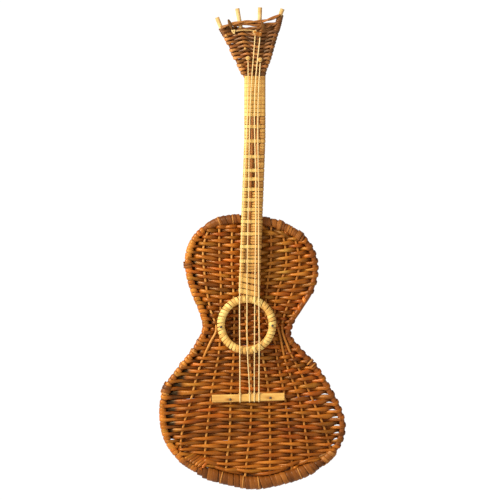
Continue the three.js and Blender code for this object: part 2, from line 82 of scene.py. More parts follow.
STAKES = [
    [(-51.5, -259), (-56.3, -272), (-59.3, -289.6), (-58.4, -312.4), (-50, -362), (-43.2, -389.9),
     (-50, -402.6), (-59.3, -424.2), (-75.3, -477.5), (-86.6, -523.2), (-88.7, -548)],
    [(-39.4, -254), (-38.5, -287), (-37, -346.7), (-39.4, -414), (-50, -477.5), (-54.6, -515.6),
     (-58, -566)],
    [(-23.1, -250), (-22.9, -299.7), (-19.8, -382.3), (-20.8, -414), (-24.5, -481.3),
     (-26.4, -525.8), (-31.6, -576)],
    [(-8.9, -249), (-6.4, -363.2), (-0.6, -426.7), (2.2, -483.9), (-2.2, -537.2), (-6.4, -580)],
    [(10.2, -251), (8.9, -363.2), (15.2, -414), (24.5, -480.1), (25.4, -515.6), (25.4, -578)],
    [(27.3, -254), (26.2, -299.7), (21.6, -337.8), (20.7, -375.9), (30.4, -401.3), (36.8, -435.6),
     (45.5, -483.9), (52.3, -537.2), (53, -571)],
    [(40.6, -258), (46.2, -302.3), (36.2, -337.8), (31.5, -363.2), (38.9, -401.3), (43.2, -420.4),
     (62.5, -477.5), (69.3, -509.3), (76.4, -562)],
    [(56.1, -267), (63.1, -302.3), (54.6, -337.8), (46.2, -363.2), (40.6, -386.1), (47, -407.7),
     (69.2, -452.1), (81.9, -483.9), (95.5, -515.6), (103, -541)],
]
LEFT_RISE = [
    (-258, 3), (-295, 10), (-345, 8), (-395, 2), (-440, 0), (-490, -2), (-525, -4), (-575, 4),
]
RIGHT_RISE = [
    (-258, 4), (-295, 8), (-345, 6), (-395, 4), (-435, 6), (-475, 5), (-515, 0), (-575, 6),
]
NECK_LINE = [(-0.9, -342.2), (0.9, -290), (2.5, -243), (3.75, -211), (6.1, -147), (6.2, -72)]
HEAD_RODS = [
    [(-11.5, -55.8), (-19.7, -39.5), (-30.5, -16.1), (-36.4, -5.8), (-41.8, 7.6)],
    [(-1.5, -44), (-8, -21.3), (-13.2, 2.7), (-16.1, 19)],
    [(8.3, -45.7), (10.8, -20.3), (12.3, 4.6), (12.7, 20.3)],
    [(16.9, -62), (22.5, -47.2), (29, -24.6), (36, 0), (38.7, 11.4), (41.3, 18.5)],
]
FRETS = (-115.6, -130.8, -149.1, -168.9, -186.3, -197.2, -210.3, -223.5, -235.8, -251.2, -266.6,
         -282.8, -301.2)
STRING_LEVELS = (-71, -223.5, -350.5, -412, -466)
STRINGS = [
    ((-2.5, -44.5), (-2.3, -8.1, -13.1, -12.9, -12.7)),
    ((6.4, -11.4), (2.2, -1.9, -3.8, -3.4, -0.6)),
    ((12.4, -14.0), (7.2, 7.6, 6.1, 5.7, 5.5)),
    ((12.8, -46.4), (11.6, 10.8, 11.2, 11.6, 11.3)),
]


# ---------- strands ----------
def spline(keys, step, closed=False):
    """Points about one step apart on a smooth line through keys, rows of x, y, z and more."""
    keys = np.asarray(keys, float)
    if closed:
        keys = np.vstack([keys[-1], keys, keys[:2]])
    else:
        keys = np.vstack([2 * keys[0] - keys[1], keys, 2 * keys[-1] - keys[-2]])
    gaps = np.maximum(np.linalg.norm(np.diff(keys[:, :3], axis=0), axis=1), 1e-6)[:, None]
    rates = np.diff(keys, axis=0) / gaps
    slopes = (rates[:-1] * gaps[1:] + rates[1:] * gaps[:-1]) / (gaps[:-1] + gaps[1:])
    out = []
    for i in range(1, len(keys) - 2):
        gap = gaps[i, 0]
        count = max(2, round(gap / step))
        t = (np.arange(count) / count)[:, None]
        start, end = keys[i], keys[i + 1]
        out.append((2 * t**3 - 3 * t**2 + 1) * start + (t**3 - 2 * t**2 + t) * gap * slopes[i - 1]
                   + (3 * t**2 - 2 * t**3) * end + (t**3 - t**2) * gap * slopes[i])
    if not closed:
        out.append(keys[-2][None])
    return np.vstack(out)


def unit(vectors):
    return vectors / np.maximum(np.linalg.norm(vectors, axis=-1, keepdims=True), 1e-9)


class Strands:
    """Gathers swept rods and strips into the mesh of one piece."""

    def __init__(self):
        self.points, self.quads, self.uvs, self.tones = [], [], [], []
        self.count = 0

    def sweep(self, path, up, half_width, half_thick, tone=0.5, sides=12, power=2.0,
              closed=False, ends="round"):
        """A strand along path. up is the direction of its width, and power squares its section."""
        path = np.asarray(path, float)
        total = len(path)
        if closed:
            tangents = unit(np.roll(path, -1, 0) - np.roll(path, 1, 0))
        else:
            tangents = unit(np.gradient(path, axis=0))
        up = np.broadcast_to(np.asarray(up, float), path.shape)
        wide = unit(up - tangents * np.sum(up * tangents, 1, keepdims=True))
        deep = np.cross(tangents, wide)
        size_w, size_d = (np.broadcast_to(np.asarray(half, float), (total,))
                          for half in (half_width, half_thick))
        angles = np.arange(sides) / sides * 2 * np.pi
        across, through = (np.sign(turned) * np.abs(turned) ** (2 / power)
                           for turned in (np.cos(angles), np.sin(angles)))
        if not closed:
            reach, shrink = (0.55, 0.6) if ends == "round" else (0, 0.93)
            reach = tangents * reach * min(size_w[0], size_d[0])
            path = np.vstack([path[:1] - reach[:1], path, path[-1:] + reach[-1:]])
            wide, deep = (np.vstack([side[:1], side, side[-1:]]) for side in (wide, deep))
            size_w, size_d = (np.concatenate([half[:1] * shrink, half, half[-1:] * shrink])
                              for half in (size_w, size_d))
            total += 2
        rings = (path[:, None]
                 + wide[:, None] * (size_w[:, None] * across)[..., None]
                 + deep[:, None] * (size_d[:, None] * through)[..., None])
        along = np.concatenate([[0], np.cumsum(np.linalg.norm(np.diff(path, axis=0), axis=1))])
        along = along + rng.uniform(0, 900)
        perimeter = math.pi * (size_w.mean() + size_d.mean())
        tones = np.broadcast_to(np.asarray(tone, float), (total,)) if np.ndim(tone) == 0 \
            else np.interp(np.linspace(0, 1, total), np.linspace(0, 1, len(tone)), tone)
        spans = total if closed else total - 1
        i = np.repeat(np.arange(spans), sides)
        j = np.tile(np.arange(sides), spans)
        next_i = (i + 1) % total
        next_j = (j + 1) % sides
        quads = np.stack([i * sides + j, i * sides + next_j, next_i * sides + next_j,
                          next_i * sides + j], 1)
        u_here, u_next = along[i], along[i] + np.linalg.norm(path[next_i] - path[i], axis=1)
        v_here, v_next = j / sides * perimeter, (j + 1) / sides * perimeter
        uvs = np.stack([np.stack(corner, 1) for corner in (
            (u_here, v_here), (u_here, v_next), (u_next, v_next), (u_next, v_here))], 1)
        self.take(rings.reshape(-1, 3), quads, uvs, np.repeat(tones, sides))
        if not closed:
            for ring, end in ((0, 0), (total - 1, 1)):
                self.cap(rings[ring], path[ring], along[ring], tones[ring], bool(end))

    def cap(self, ring, centre, u, tone, flip):
        """A fan that closes an open end."""
        sides = len(ring)
        points = np.vstack([ring, centre[None]])
        j = np.arange(sides)
        triangles = np.stack([(j + 1) % sides, j, np.full(sides, sides), np.full(sides, sides)], 1)
        if flip:
            triangles = triangles[:, [1, 0, 2, 3]]
        spread = np.stack([u + 0.3 * np.cos(j), 0.3 * np.sin(j)], 1)
        middle = np.broadcast_to([u, 0.0], (sides, 2))
        uvs = np.stack([spread, np.roll(spread, -1, 0), middle, middle], 1)
        self.take(points, triangles, uvs, np.full(sides + 1, tone))

    def take(self, points, quads, uvs, tones):
        """Adds points and the faces between them to the piece."""
        self.points.append(points)
        self.quads.append(quads + self.count)
        self.uvs.append(uvs)
        self.tones.append(tones)
        self.count += len(points)

    def build(self, name, material, slot, nodes=()):
        """Makes the gathered strands one piece of the scene, in metres."""
        points = np.vstack(self.points) / 1000
        quads = np.vstack(self.quads)
        uvs = np.vstack([each.reshape(-1, 4, 2) for each in self.uvs])
        triangle = quads[:, 2] == quads[:, 3]
        sizes = np.where(triangle, 3, 4)
        keep = np.ones(quads.shape, bool)
        keep[triangle, 3] = False
        mesh = bpy.data.meshes.new(name)
        mesh.vertices.add(len(points))
        mesh.vertices.foreach_set("co", points.ravel())
        mesh.loops.add(int(sizes.sum()))
        mesh.loops.foreach_set("vertex_index", quads[keep])
        mesh.polygons.add(len(sizes))
        mesh.polygons.foreach_set("loop_start", np.concatenate([[0], np.cumsum(sizes)[:-1]]))
        mesh.polygons.foreach_set("use_smooth", np.ones(len(sizes), bool))
        mesh.update(calc_edges=True)
        layer = mesh.uv_layers.new(name="UVMap")
        layer.data.foreach_set("uv", uvs[keep].ravel())
        attribute = mesh.attributes.new("tone", "FLOAT", "POINT")
        attribute.data.foreach_set("value", np.concatenate(self.tones).astype(np.float32))
        mesh.materials.append(material)
        piece = bpy.data.objects.new(name, mesh)
        bpy.context.scene.collection.objects.link(piece)
        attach(piece, "root")
        if nodes:
            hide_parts(*nodes)
        return piece


# ---------- materials ----------
def linear(colour):
    """A colour of 0 to 255 a channel as the renderer's linear one."""
    return [(c / 255 / 12.92) if c <= 10 else ((c / 255 + 0.055) / 1.055) ** 2.4 for c in colour]


def feed(tree, node, inputs):
    """Gives a shader node its inputs, each a plain value or another node's output."""
    for socket, value in inputs.items():
        if isinstance(value, bpy.types.NodeSocket):
            tree.links.new(value, node.inputs[socket])
        else:
            node.inputs[socket].default_value = value
    return node


def add(tree, kind, inputs, **settings):
    node = tree.nodes.new("ShaderNode" + kind)
    for name, value in settings.items():
        setattr(node, name, value)
    return feed(tree, node, inputs)


def ramp(tree, value, stops):
    """Colours by value. stops are places from 0 to 1, each with a linear colour."""
    node = add(tree, "ValToRGB", {"Fac": value})
    elements = node.color_ramp.elements
    while len(elements) < len(stops):
        elements.new(0.5)
    for element, (place, colour) in zip(elements, stops):
        element.position = place
        element.color = (*colour, 1)
    return node.outputs["Color"]


def new_material(name):
    material = bpy.data.materials.new(name)
    material.use_nodes = True
    return material, material.node_tree, material.node_tree.nodes["Principled BSDF"]


# Along a rod its hue drifts: each drift starts at one noise level and is full at the next.
HUE_DRIFTS = ((0.54, 0.62, (0.86, 1.04, 1.1)), (0.44, 0.38, (1.08, 0.86, 0.8)))
SPECK_SHADE = (0.25, 0.16, 0.1)
RELIEF_DEPTH = 0.0003


def grown_material(name, stops, roughness, streak=0.35, blotch=0.25, bump=0.3, gloss=0.35,
                   speck=0.0, tint=(1.0, 0.8, 0.55), along=0.02, across=0.9, mixed=0.0,
                   patch=None):
    """A rod, skein or cane: tone picks its colour, with streaks along it and blotches."""
    material, tree, shader = new_material(name)
    lengthwise = add(tree, "UVMap", {}).outputs["UV"]
    tone = add(tree, "Attribute", {}, attribute_name="tone").outputs["Fac"]

    def noise(scale, detail, rough):
        drawn_out = add(tree, "Mapping", {"Vector": lengthwise, "Scale": (*scale, 1)})
        return add(tree, "TexNoise", {"Vector": drawn_out.outputs["Vector"], "Scale": 1.0,
                                      "Detail": detail, "Roughness": rough}).outputs["Fac"]

    def result(operation, a, b):
        return add(tree, "Math", {0: a, 1: b}, operation=operation).outputs[0]

    def varied(value, pattern, amount):
        return result("ADD", value, result("MULTIPLY", result("SUBTRACT", pattern, 0.5), amount * 2))

    def ranged(value, low, high, bottom, top):
        return add(tree, "MapRange", {"Value": value, "From Min": low, "From Max": high,
                                      "To Min": bottom, "To Max": top}).outputs["Result"]

    def shaded(colour, share, shade):
        return add(tree, "Mix", {0: share, 6: colour, 7: (*shade, 1)}, data_type="RGBA",
                   blend_type="MULTIPLY").outputs[2]

    streaks = noise((along, across), 4, 0.6)
    blotches = noise((0.055, 0.12), 3, 0.55)
    fine = noise((0.1, 1.6), 2, 0.6)
    value = varied(varied(tone, streaks, streak), blotches, blotch)
    colour = ramp(tree, value, [(place, linear(shade)) for place, shade in stops])
    if mixed > 0:
        kinds = noise((0.011, 0.0), 1, 0.4)
        for start, full, shade in HUE_DRIFTS:
            colour = shaded(colour, ranged(kinds, start, full, 0.0, mixed), shade)
    if patch:
        spot, reach, shade = patch
        places = add(tree, "TexCoord", {}).outputs["Object"]
        inside = add(tree, "Mapping", {"Vector": places, "Scale": [1 / r for r in reach],
                                       "Location": [-c / r for c, r in zip(spot, reach)]})
        fade = add(tree, "TexGradient", {"Vector": inside.outputs["Vector"]},
                   gradient_type="SPHERICAL")
        share = result("MINIMUM", result("MULTIPLY", fade.outputs["Fac"], 2.0), 1.0)
        colour = shaded(colour, share, shade)
    if speck > 0:
        marks = noise((0.5, 2.2), 2, 0.5)
        colour = shaded(colour, ranged(marks, 0.66, 0.74, 0.0, speck), SPECK_SHADE)
    height = result("ADD", streaks, result("MULTIPLY", fine, 0.6))
    relief = add(tree, "Bump", {"Strength": bump, "Distance": RELIEF_DEPTH, "Height": height})
    feed(tree, shader, {
        "Base Color": colour, "Specular IOR Level": gloss, "Specular Tint": (*tint, 1),
        "Roughness": ranged(blotches, 0.0, 1.0, roughness - 0.1, roughness + 0.16),
        "Normal": relief.outputs["Normal"]})
    return material


weave = grown_material("varnished_weave", [
    (0.0, (30, 13, 3)), (0.25, (98, 47, 9)), (0.5, (146, 76, 16)), (0.75, (182, 104, 28)),
    (1.0, (218, 144, 58))], 0.3, streak=0.26, blotch=0.26, speck=0.4, bump=0.2, gloss=0.5,
    tint=(1, 0.68, 0.34), mixed=1.0,
    patch=((0.027, -0.006, -0.296), (0.028, 0.05, 0.07), (0.92, 1.12, 1.35)))
head_weave = grown_material("varnished_head_weave", [
    (0.0, (44, 24, 8)), (0.3, (92, 52, 18)), (0.55, (134, 80, 32)), (0.8, (168, 106, 46)),
    (1.0, (204, 146, 78))], 0.38, streak=0.16, blotch=0.26, bump=0.12, gloss=0.5, mixed=0.6)
rim_bark = grown_material("varnished_rim", [
    (0.0, (80, 36, 8)), (0.4, (142, 74, 18)), (0.7, (178, 102, 32)), (1.0, (210, 138, 58))],
    0.38, streak=0.25, blotch=0.22, speck=0.5)
skein = grown_material("varnished_skein", [
    (0.0, (70, 34, 9)), (0.4, (124, 66, 18)), (0.7, (158, 92, 32)), (1.0, (196, 132, 62))],
    0.42, streak=0.35, blotch=0.2, speck=0.5, across=1.4)
stake_bark = grown_material("varnished_stake", [
    (0.0, (112, 60, 16)), (0.4, (166, 98, 32)), (0.7, (200, 132, 56)), (1.0, (226, 170, 92))],
    0.38, streak=0.25, blotch=0.2, speck=0.3)
rod_bark = grown_material("stained_rod", [
    (0.0, (74, 38, 14)), (0.4, (128, 72, 28)), (0.7, (164, 100, 44)), (1.0, (196, 132, 68))],
    0.4, streak=0.3, blotch=0.2, speck=0.4)
cane = grown_material("pale_cane", [
    (0.0, (112, 70, 26)), (0.35, (190, 132, 62)), (0.65, (222, 171, 88)), (1.0, (246, 213, 124))],
    0.42, streak=0.22, blotch=0.15, speck=0.12, bump=0.08, gloss=0.3, across=0.6,
    tint=(1, 0.92, 0.75))
peeled = grown_material("peeled_willow", [
    (0.0, (160, 104, 48)), (0.4, (212, 164, 96)), (0.7, (234, 196, 130)), (1.0, (246, 220, 164))],
    0.5, streak=0.3, blotch=0.2, speck=0.25, gloss=0.25, across=1.2, tint=(1, 0.95, 0.85))
twine = grown_material("twisted_cord", [
    (0.0, (150, 104, 48)), (0.4, (202, 158, 92)), (0.7, (226, 190, 122)), (1.0, (244, 218, 162))],
    0.7, streak=0.08, blotch=0.08, bump=0.06, gloss=0.15, across=2.0, tint=(1, 0.95, 0.85))
bark = grown_material("dark_bark", [
    (0.0, (52, 30, 10)), (0.5, (112, 70, 26)), (1.0, (176, 124, 58))], 0.5, streak=0.4, blotch=0.3)


def nail_material():
    material, tree, shader = new_material("dull_nail")
    grain = add(tree, "TexNoise", {"Scale": 1400.0}).outputs["Fac"]
    colour = ramp(tree, grain, [(0, (0.035, 0.028, 0.02)), (1, (0.2, 0.17, 0.13))])
    feed(tree, shader, {"Base Color": colour, "Metallic": 0.9, "Roughness": 0.42})
    return material


steel = nail_material()

# ---------- rim ----------
RIM_STEP = 2.0
STEPS_PER_TURN = 22
rim_keys = [(x, PANEL_Y, z) for x, z in RIM_OUTLINE]
rim_line = spline(rim_keys, RIM_STEP, closed=True)


def table_value(table, height):
    """The value at a height in a table of (height, value), highest first."""
    heights, values = zip(*table)
    return float(np.interp(-height, [-z for z in heights], values))


def is_high(point):
    return point[2] > WAIST_Z


def is_bound(point, margin=0.0):
    """Whether a point of the rim is within a binding, or less than margin from one."""
    low, high = TOP_SPAN if is_high(point) else BOTTOM_SPAN
    above, below = point[2] > TOP_BOUND_ABOVE - margin, point[2] < BOTTOM_BOUND_BELOW + margin
    return (above or below) and low - margin < point[0] < high + margin


rim = Strands()
wobble = 1 + 0.035 * np.sin(np.arange(len(rim_line)) / 9.0)
rim.sweep(rim_line, (0, 1, 0), RIM_RADIUS * wobble, RIM_RADIUS * wobble,
          0.28 + 0.1 * np.sin(np.arange(len(rim_line)) / 23.0), sides=16, closed=True)
rim.build("rim_rod_bark", rim_bark, "rim_willow", ["rim_rod"])


def rim_frame(index):
    """A point of the rim's middle line, its direction, and the direction out of the panel."""
    count = len(rim_line)
    here = rim_line[index % count]
    along = unit(rim_line[(index + 1) % count] - rim_line[(index - 1) % count])
    outward = np.array([along[2], 0, -along[0]])
    centre = np.array([0, PANEL_Y, -310 if is_high(here) else -470])
    if outward @ (here - centre) < 0:
        outward = -outward
    return here, along, outward


def winding(strands, start, end, pitch, half_width, half_thick, radius, tone, lean=0.0, uneven=0.0,
            taper=0.0):
    """A strip wound round the rim between two places along its middle line."""
    first, last = rim_stretch(start, end)
    turns = max(1, round((last - first) * RIM_STEP / pitch))
    shifts = vary(uneven, turns + 2)
    swells = vary(uneven, turns + 2)
    path, ups = [], []
    for k in range(turns * STEPS_PER_TURN + 1):
        turn = k / STEPS_PER_TURN
        shift = np.interp(turn, np.arange(turns + 2), shifts)
        place = first + (turn + shift) / turns * (last - first)
        low = int(math.floor(place))
        here, along, outward = rim_frame(low)
        ahead = rim_frame(low + 1)[0]
        here = here + (ahead - here) * (place - low)
        angle = 2 * math.pi * turn
        swell = radius + 1.2 * np.interp(turn, np.arange(turns + 2), swells)
        swell -= taper * max(0.0, 1 - min(turn, turns - turn) / 2.2)
        out = outward * math.cos(angle) + np.array([0, -math.sin(angle), 0])
        path.append(here + out * swell)
        ups.append(along + lean * out)
    wander = np.interp(np.linspace(0, turns, turns * STEPS_PER_TURN + 1), np.arange(turns + 1),
                       tone + vary(0.25, turns + 1))
    strands.sweep(path, ups, half_width, half_thick, wander, sides=10, power=4.5)


def nearest_on_rim(place):
    """The index of the rim's point nearest to a place, x and z."""
    gaps = np.hypot(rim_line[:, 0] - place[0], rim_line[:, 2] - place[1])
    return int(gaps.argmin())


def rim_stretch(start, end):
    """The rim's first and last index between two places. The last may run past its closing point."""
    first, last = nearest_on_rim(start), nearest_on_rim(end)
    return first, last + len(rim_line) * (last < first)


def shade_filler(strands, start, end, radius):
    """A dark rod just inside a binding: painted shade, standing in for the shadow there."""
    first, last = rim_stretch(start, end)
    inner = [rim_frame(k)[0] - rim_frame(k)[2] * (radius + 1.4) + np.array([0, 1.8, 0])
             for k in range(first, last + 1)]
    strands.sweep(inner, (0, 1, 0), 1.6, 2.3, 0.05, sides=10)


def binding(start, end, radius, pitch, tone, taper=1.5):
    """A rim's flat skein binding over its dark core, with a dark rod of painted shade inside it."""
    first, last = rim_stretch(start, end)
    path = [rim_line[k % len(rim_line)] for k in range(first, last + 1)]
    strands = Strands()
    winding(strands, start, end, pitch, pitch / 2 + 0.25, 0.42, radius, tone, lean=0.13, uneven=0.22,
            taper=taper)
    count = len(path)
    ends = np.minimum(np.arange(count), count - 1 - np.arange(count)) * RIM_STEP
    core = radius - 0.7 - taper * np.clip(1 - ends / (pitch * 2.2), 0, 1)
    strands.sweep(path, (0, 1, 0), core, core, -0.1, sides=14)
    shade_filler(strands, start, end, radius)
    return strands


top = binding((-52, -256), (34, -254), TOP_BINDING, 6.4, 0.42)
winding(top, (28, -252), (68, -273), 3.3, 1.72, 0.42, TOP_BINDING - 0.6, 0.58, lean=0.15,
        uneven=0.14, taper=0.8)
# A dark rod of painted shade inside this stretch of binding too.
shade_filler(top, (28, -252), (66, -272), TOP_BINDING - 0.4)
for start, end, pitch, out in (((35, -254.5), (39, -256), 2.0, 0.4),
                               ((60, -267.5), (64, -270.5), 2.2, 0.2)):
    winding(top, start, end, pitch, pitch / 2 + 0.3, 0.6, TOP_BINDING + out, 0.66, lean=-0.2)
for place in ((-38.5, -252.6), (-22.5, -248.4)):
    winding(top, place, (place[0] + 1.6, place[1] + 0.3), 1.6, 0.7, 0.35, TOP_BINDING + 0.55, 1.15)
top.build("top_binding_skein", skein, "binding_skein", ["top_binding"])

bottom = binding((89, -556.5), (-66.5, -565.5), BOTTOM_BINDING, 6.7, 0.42, taper=3.0)
for place in ((62, -569.5), (11.8, -582.6), (-9, -581), (-35.5, -576)):
    winding(bottom, place, (place[0] - 1.6, place[1]), 1.6, 0.65, 0.35, BOTTOM_BINDING + 0.5, 1.1)
bottom.build("bottom_binding_skein", skein, "binding_skein", ["bottom_binding"])

ties = Strands()
winding(ties, (-78.2, -308), (-78.4, -303), 2.6, 1.3, 0.8, WRAP_RADIUS + 1.5, 0.55)
winding(ties, (-107.3, -467), (-104.8, -458), 4.4, 2.4, 0.9, WRAP_RADIUS + 1.3, 0.38)
winding(ties, (-107.8, -470), (-107.4, -468.4), 1.6, 0.9, 0.5, WRAP_RADIUS + 1.0, 1.1)
for place in ((-62.3, -404.5), (-70.5, -416.5), (-84.6, -434), (79.5, -433), (75.5, -428.5)):
    winding(ties, place, (place[0] + 1.2, place[1] + 1.4 * (place[0] < 0) - 1.4 * (place[0] > 0)),
            1.8, 0.85, 0.5, WRAP_RADIUS + 0.9, 1.0)
winding(ties, (103.5, -543), (92, -555), 5.6, 2.8, 0.9, WRAP_RADIUS + 1.2, 0.6, lean=0.05, uneven=0.1)
ties.build("rim_ties", skein, "binding_skein")

# ---------- stakes ----------
STAKE_FORWARD = 0.9


def stands_out(place, z):
    """How far, 0 to 1, a stake stands out in front of the rows where the waist squeezes it."""
    return float(np.clip(1.5 - abs(z + 402) / 15, 0, 1)) if place in (1, 7, 8) else 0.0


stake_lines = []
for number, outline in enumerate(STAKES, 1):
    line = spline([(x, PANEL_Y, z) for x, z in outline], 4.0)
    line[:, 0] += 0.35 * np.sin(line[:, 2] / 13.0 + number)
    line[:, 1] -= [STAKE_FORWARD + 1.9 * stands_out(number, z) for z in line[:, 2]]
    stake_lines.append(line)
    stake = Strands()
    bark_tone = 0.55 if number in (6, 7, 8) else 0.74
    stake.sweep(line, (0, 1, 0), STAKE_RADIUS - 0.2, STAKE_RADIUS - 0.1,
                bark_tone + 0.12 * vary(1, 12), sides=10)
    stake.build(f"stake_{number}_bark", stake_bark, "stake_willow", [f"stake_{number}"])

# ---------- the panel's weave ----------
WEAVERS = 14
ROWS_PER_WEAVER = 5
ROW_PITCH = 4.45
row_base = []
height = -258.0
for weaver in range(WEAVERS):
    for k in range(ROWS_PER_WEAVER):
        row_base.append(height)
        height -= ROW_PITCH * (1 + 0.1 * math.sin(2.3 * weaver))
row_shift = vary(0.28, len(row_base))


def base_height(row):
    """A row's height at the middle of the panel. Rows past either end go on at the same pitch."""
    if row < 0:
        return row_base[0] - ROW_PITCH * row
    if row >= len(row_base):
        return row_base[-1] - ROW_PITCH * (row - len(row_base) + 1)
    return row_base[row] + row_shift[row]


def row_z(row, x):
    """A row's height at x. Rows rise or sink towards the rim and drift a little."""
    base = base_height(row)
    rise = table_value(LEFT_RISE if x < 0 else RIGHT_RISE, base)
    out = max(0.0, abs(x) - 15) / 85
    drift = 1.0 * math.sin(x / 29 + base / 21 + 0.5) + 0.7 * math.sin(x / 16 - base / 33 + 2)
    return base + rise * out * out + drift


def crossing(line, row, side):
    """Where a row crosses a line, furthest to one side, and the line's last point before it."""
    heights = line[:, 2] - np.array([row_z(row, x) for x in line[:, 0]])
    flips = np.nonzero((heights[:-1] > 0) != (heights[1:] > 0))[0]
    best = None
    for i in flips:
        share = heights[i] / (heights[i] - heights[i + 1])
        point = line[i] + (line[i + 1] - line[i]) * share
        if best is None or (point[0] - best[0][0]) * side > 0:
            best = (point, i)
    return best


closed_rim = np.vstack([rim_line, rim_line[:1]])
inner_rim = []
for index in range(len(rim_line) + 1):
    here, along, outward = rim_frame(index)
    bound = TOP_BINDING if is_high(here) else BOTTOM_BINDING
    room = bound if is_bound(here, 5) else RIM_RADIUS
    inner_rim.append(here - outward * (room + 1.2))
inner_rim = np.array(inner_rim)
edges = {}


def edge(row, side):
    """Where a row turns back: (point, outward, bare)."""
    if (row, side) not in edges:
        joined = row + 1 if (row % 2 == 0) == (side == 1) else row - 1
        pair = [each for each in (row, joined) if 0 <= each < len(row_base)]
        found = [crossing(closed_rim, each, side) for each in pair]
        bare = all(each is not None and not is_bound(each[0], 2) for each in found)
        if bare:
            point, index = found[0]
            edges[row, side] = (point, rim_frame(index)[2], True)
        else:
            places = [crossing(inner_rim, each, side) for each in pair]
            reach = min(place[0][0] * side for place in places if place is not None) * side
            for line in stake_lines:
                upright = crossing(line, row, side)
                if upright is not None and abs(upright[0][0] - reach) < 4.5:
                    reach = upright[0][0] + side * 4.5
            edges[row, side] = (np.array([reach, PANEL_Y, row_z(row, reach)]),
                                np.array([side, 0, 0]), False)
    return edges[row, side]


def wrap_keys(start, end, side, tone, twice):
    """Key points round the bare rim from one row to the next, once or, twice, with a whole turn."""
    keys = []
    last_angle = 560 if twice else 200
    middle = (start[0] + end[0]) / 2
    drop = end[0] - start[0]
    for degrees in np.arange(-20, last_angle + 1, 48.0 if twice else 44.0):
        along = np.clip((degrees - 360) / 360 if twice else (degrees - 90) / 180, -0.5, 0.5)
        outward = unit(start[1] * (0.5 - along) + end[1] * (0.5 + along))
        angle = math.radians(degrees)
        radius = WRAP_RADIUS + (0.5 if outward[0] > 0 and not twice else 0.0)
        place = middle + drop * along + outward * radius * math.sin(angle)
        place = place + np.array([0, side * WRAP_RADIUS * math.cos(angle), 0])
        # Turns round the left rim are painted lighter and those round the right darker: painted light
        # from the left.
        painted_side_light = 0.2 if outward[0] < 0 else -0.1
        keys.append([*place, *-unit(drop), 2.15 + 0.3 * (abs(along) > 0.49), 0.52, tone + painted_side_light])
    return keys


def row_gap(row, x):
    """Half the distance between a row's two neighbours at x."""
    return (row_z(row - 1, x) - row_z(row + 1, x)) / 2


def row_side(row, place):
    """Front (-1) or back (1) of a row at stake place 1 to 8; 0 and 9 are the rim's two sides."""
    return -1 if (row + place) % 2 == 0 else 1


def row_stakes(row, start_x, end_x, direction, room=4.0):
    """The stakes that a row crosses, in its own order, as (place, x)."""
    found = []
    for place, line in enumerate(stake_lines, 1):
        cross = crossing(line, row, 1)
        if cross is None:
            continue
        x = cross[0][0]
        if (x - start_x) * direction > room and (end_x - x) * direction > room:
            found.append((place, x))
    return sorted(found, key=lambda each: each[1] * direction)


def upright_key(x, y, z, half_width, half_thick, tone):
    """A key point of a rod whose width stands upright."""
    return [x, y, z, 0, 0, 1, half_width, half_thick, tone]


def sweep_weaver(strand, keys, number):
    """Sweeps rows of a place, a width direction, two half sizes and a tone."""
    line = spline(keys, 1.7)
    ripple = 1 + 0.05 * np.sin(np.arange(len(line)) / 7.0 + number)
    strand.sweep(line[:, :3], line[:, 3:6], np.minimum(line[:, 6], 3.2) * ripple,
                 line[:, 7] * ripple, line[:, 8], sides=12)


# Rows that fill the panel up to its bindings, by weaver: first and last x, inset, phase, tone.
PACKING_ROWS = {
    0: ((-46, 52, 1.6, 1, 0.5), (4, 60, 5.6, 0, 0.62)),
    WEAVERS - 1: ((-78, 92, 1.8, 1, 0.45), (-62, 80, 6.0, 0, 0.55), (24, 66, 10.2, 1, 0.5),
                  (-88, -48, 9.5, 1, 0.5)),
}


def packing_row(strand, x_first, x_last, inset, phase, tone, high):
    """A row pressed against the top or the bottom binding, from x_first to x_last."""
    xs = np.linspace(x_first, x_last, 60)
    reach = inner_rim[inner_rim[:, 2] > -290] if high else inner_rim[inner_rim[:, 2] < -520]
    order = np.argsort(reach[:, 0])
    heights = np.interp(xs, reach[order, 0], reach[order, 2]) + (-inset if high else inset)
    path = np.stack([xs, np.full(60, PANEL_Y), heights], 1)
    keys = [upright_key(x_first, PANEL_Y + 1.5, heights[0], 1.7, 1.5, tone)]
    for place, line in enumerate(stake_lines, 1):
        gaps = np.hypot(*(line[:, None, [0, 2]] - path[None, :, [0, 2]]).transpose(2, 0, 1))
        x = xs[np.unravel_index(gaps.argmin(), gaps.shape)[1]]
        if gaps.min() < 4 and x_first + 4 < x < x_last - 4:
            side = 1 if (place + phase) % 2 else -1
            keys.append(upright_key(x, PANEL_Y + side * WEAVE_OFFSET, np.interp(x, xs, heights),
                                    2.35, 2, tone + vary(0.1)))
    keys.append(upright_key(x_last, PANEL_Y + 1.5, heights[-1], 1.7, 1.5, tone))
    sweep_weaver(strand, keys, phase)


def lashed(strand, top, place, tone):
    """A rod that comes down the front from top and turns round the rim at place."""
    here, along, outward = rim_frame(nearest_on_rim(place))
    top = np.array([top[0], PANEL_Y - 3.2, top[1]])
    crest = here + np.array([0, -WRAP_RADIUS - 0.5, 0])
    spine = (0.75, 0, -0.65)
    route = [(top + (7, 6.5, 5.5), spine, 1.6, 1.5), (top + (1.5, 0.8, 1.2), spine, 1.8, 1.7),
             ((top + crest) / 2 + (0, -1.2, 0), spine, 2.0, 1.5), (crest, along, 2.3, 0.8),
             (here + outward * (WRAP_RADIUS + 0.6), along, 2.2, 0.8),
             (here + (0, WRAP_RADIUS + 0.2, 0), along, 2.1, 0.8),
             (here - outward * (WRAP_RADIUS - 0.5), along, 1.9, 0.8)]
    sweep_weaver(strand, [[*point, *up, wide, thick, tone] for point, up, wide, thick in route], 0)


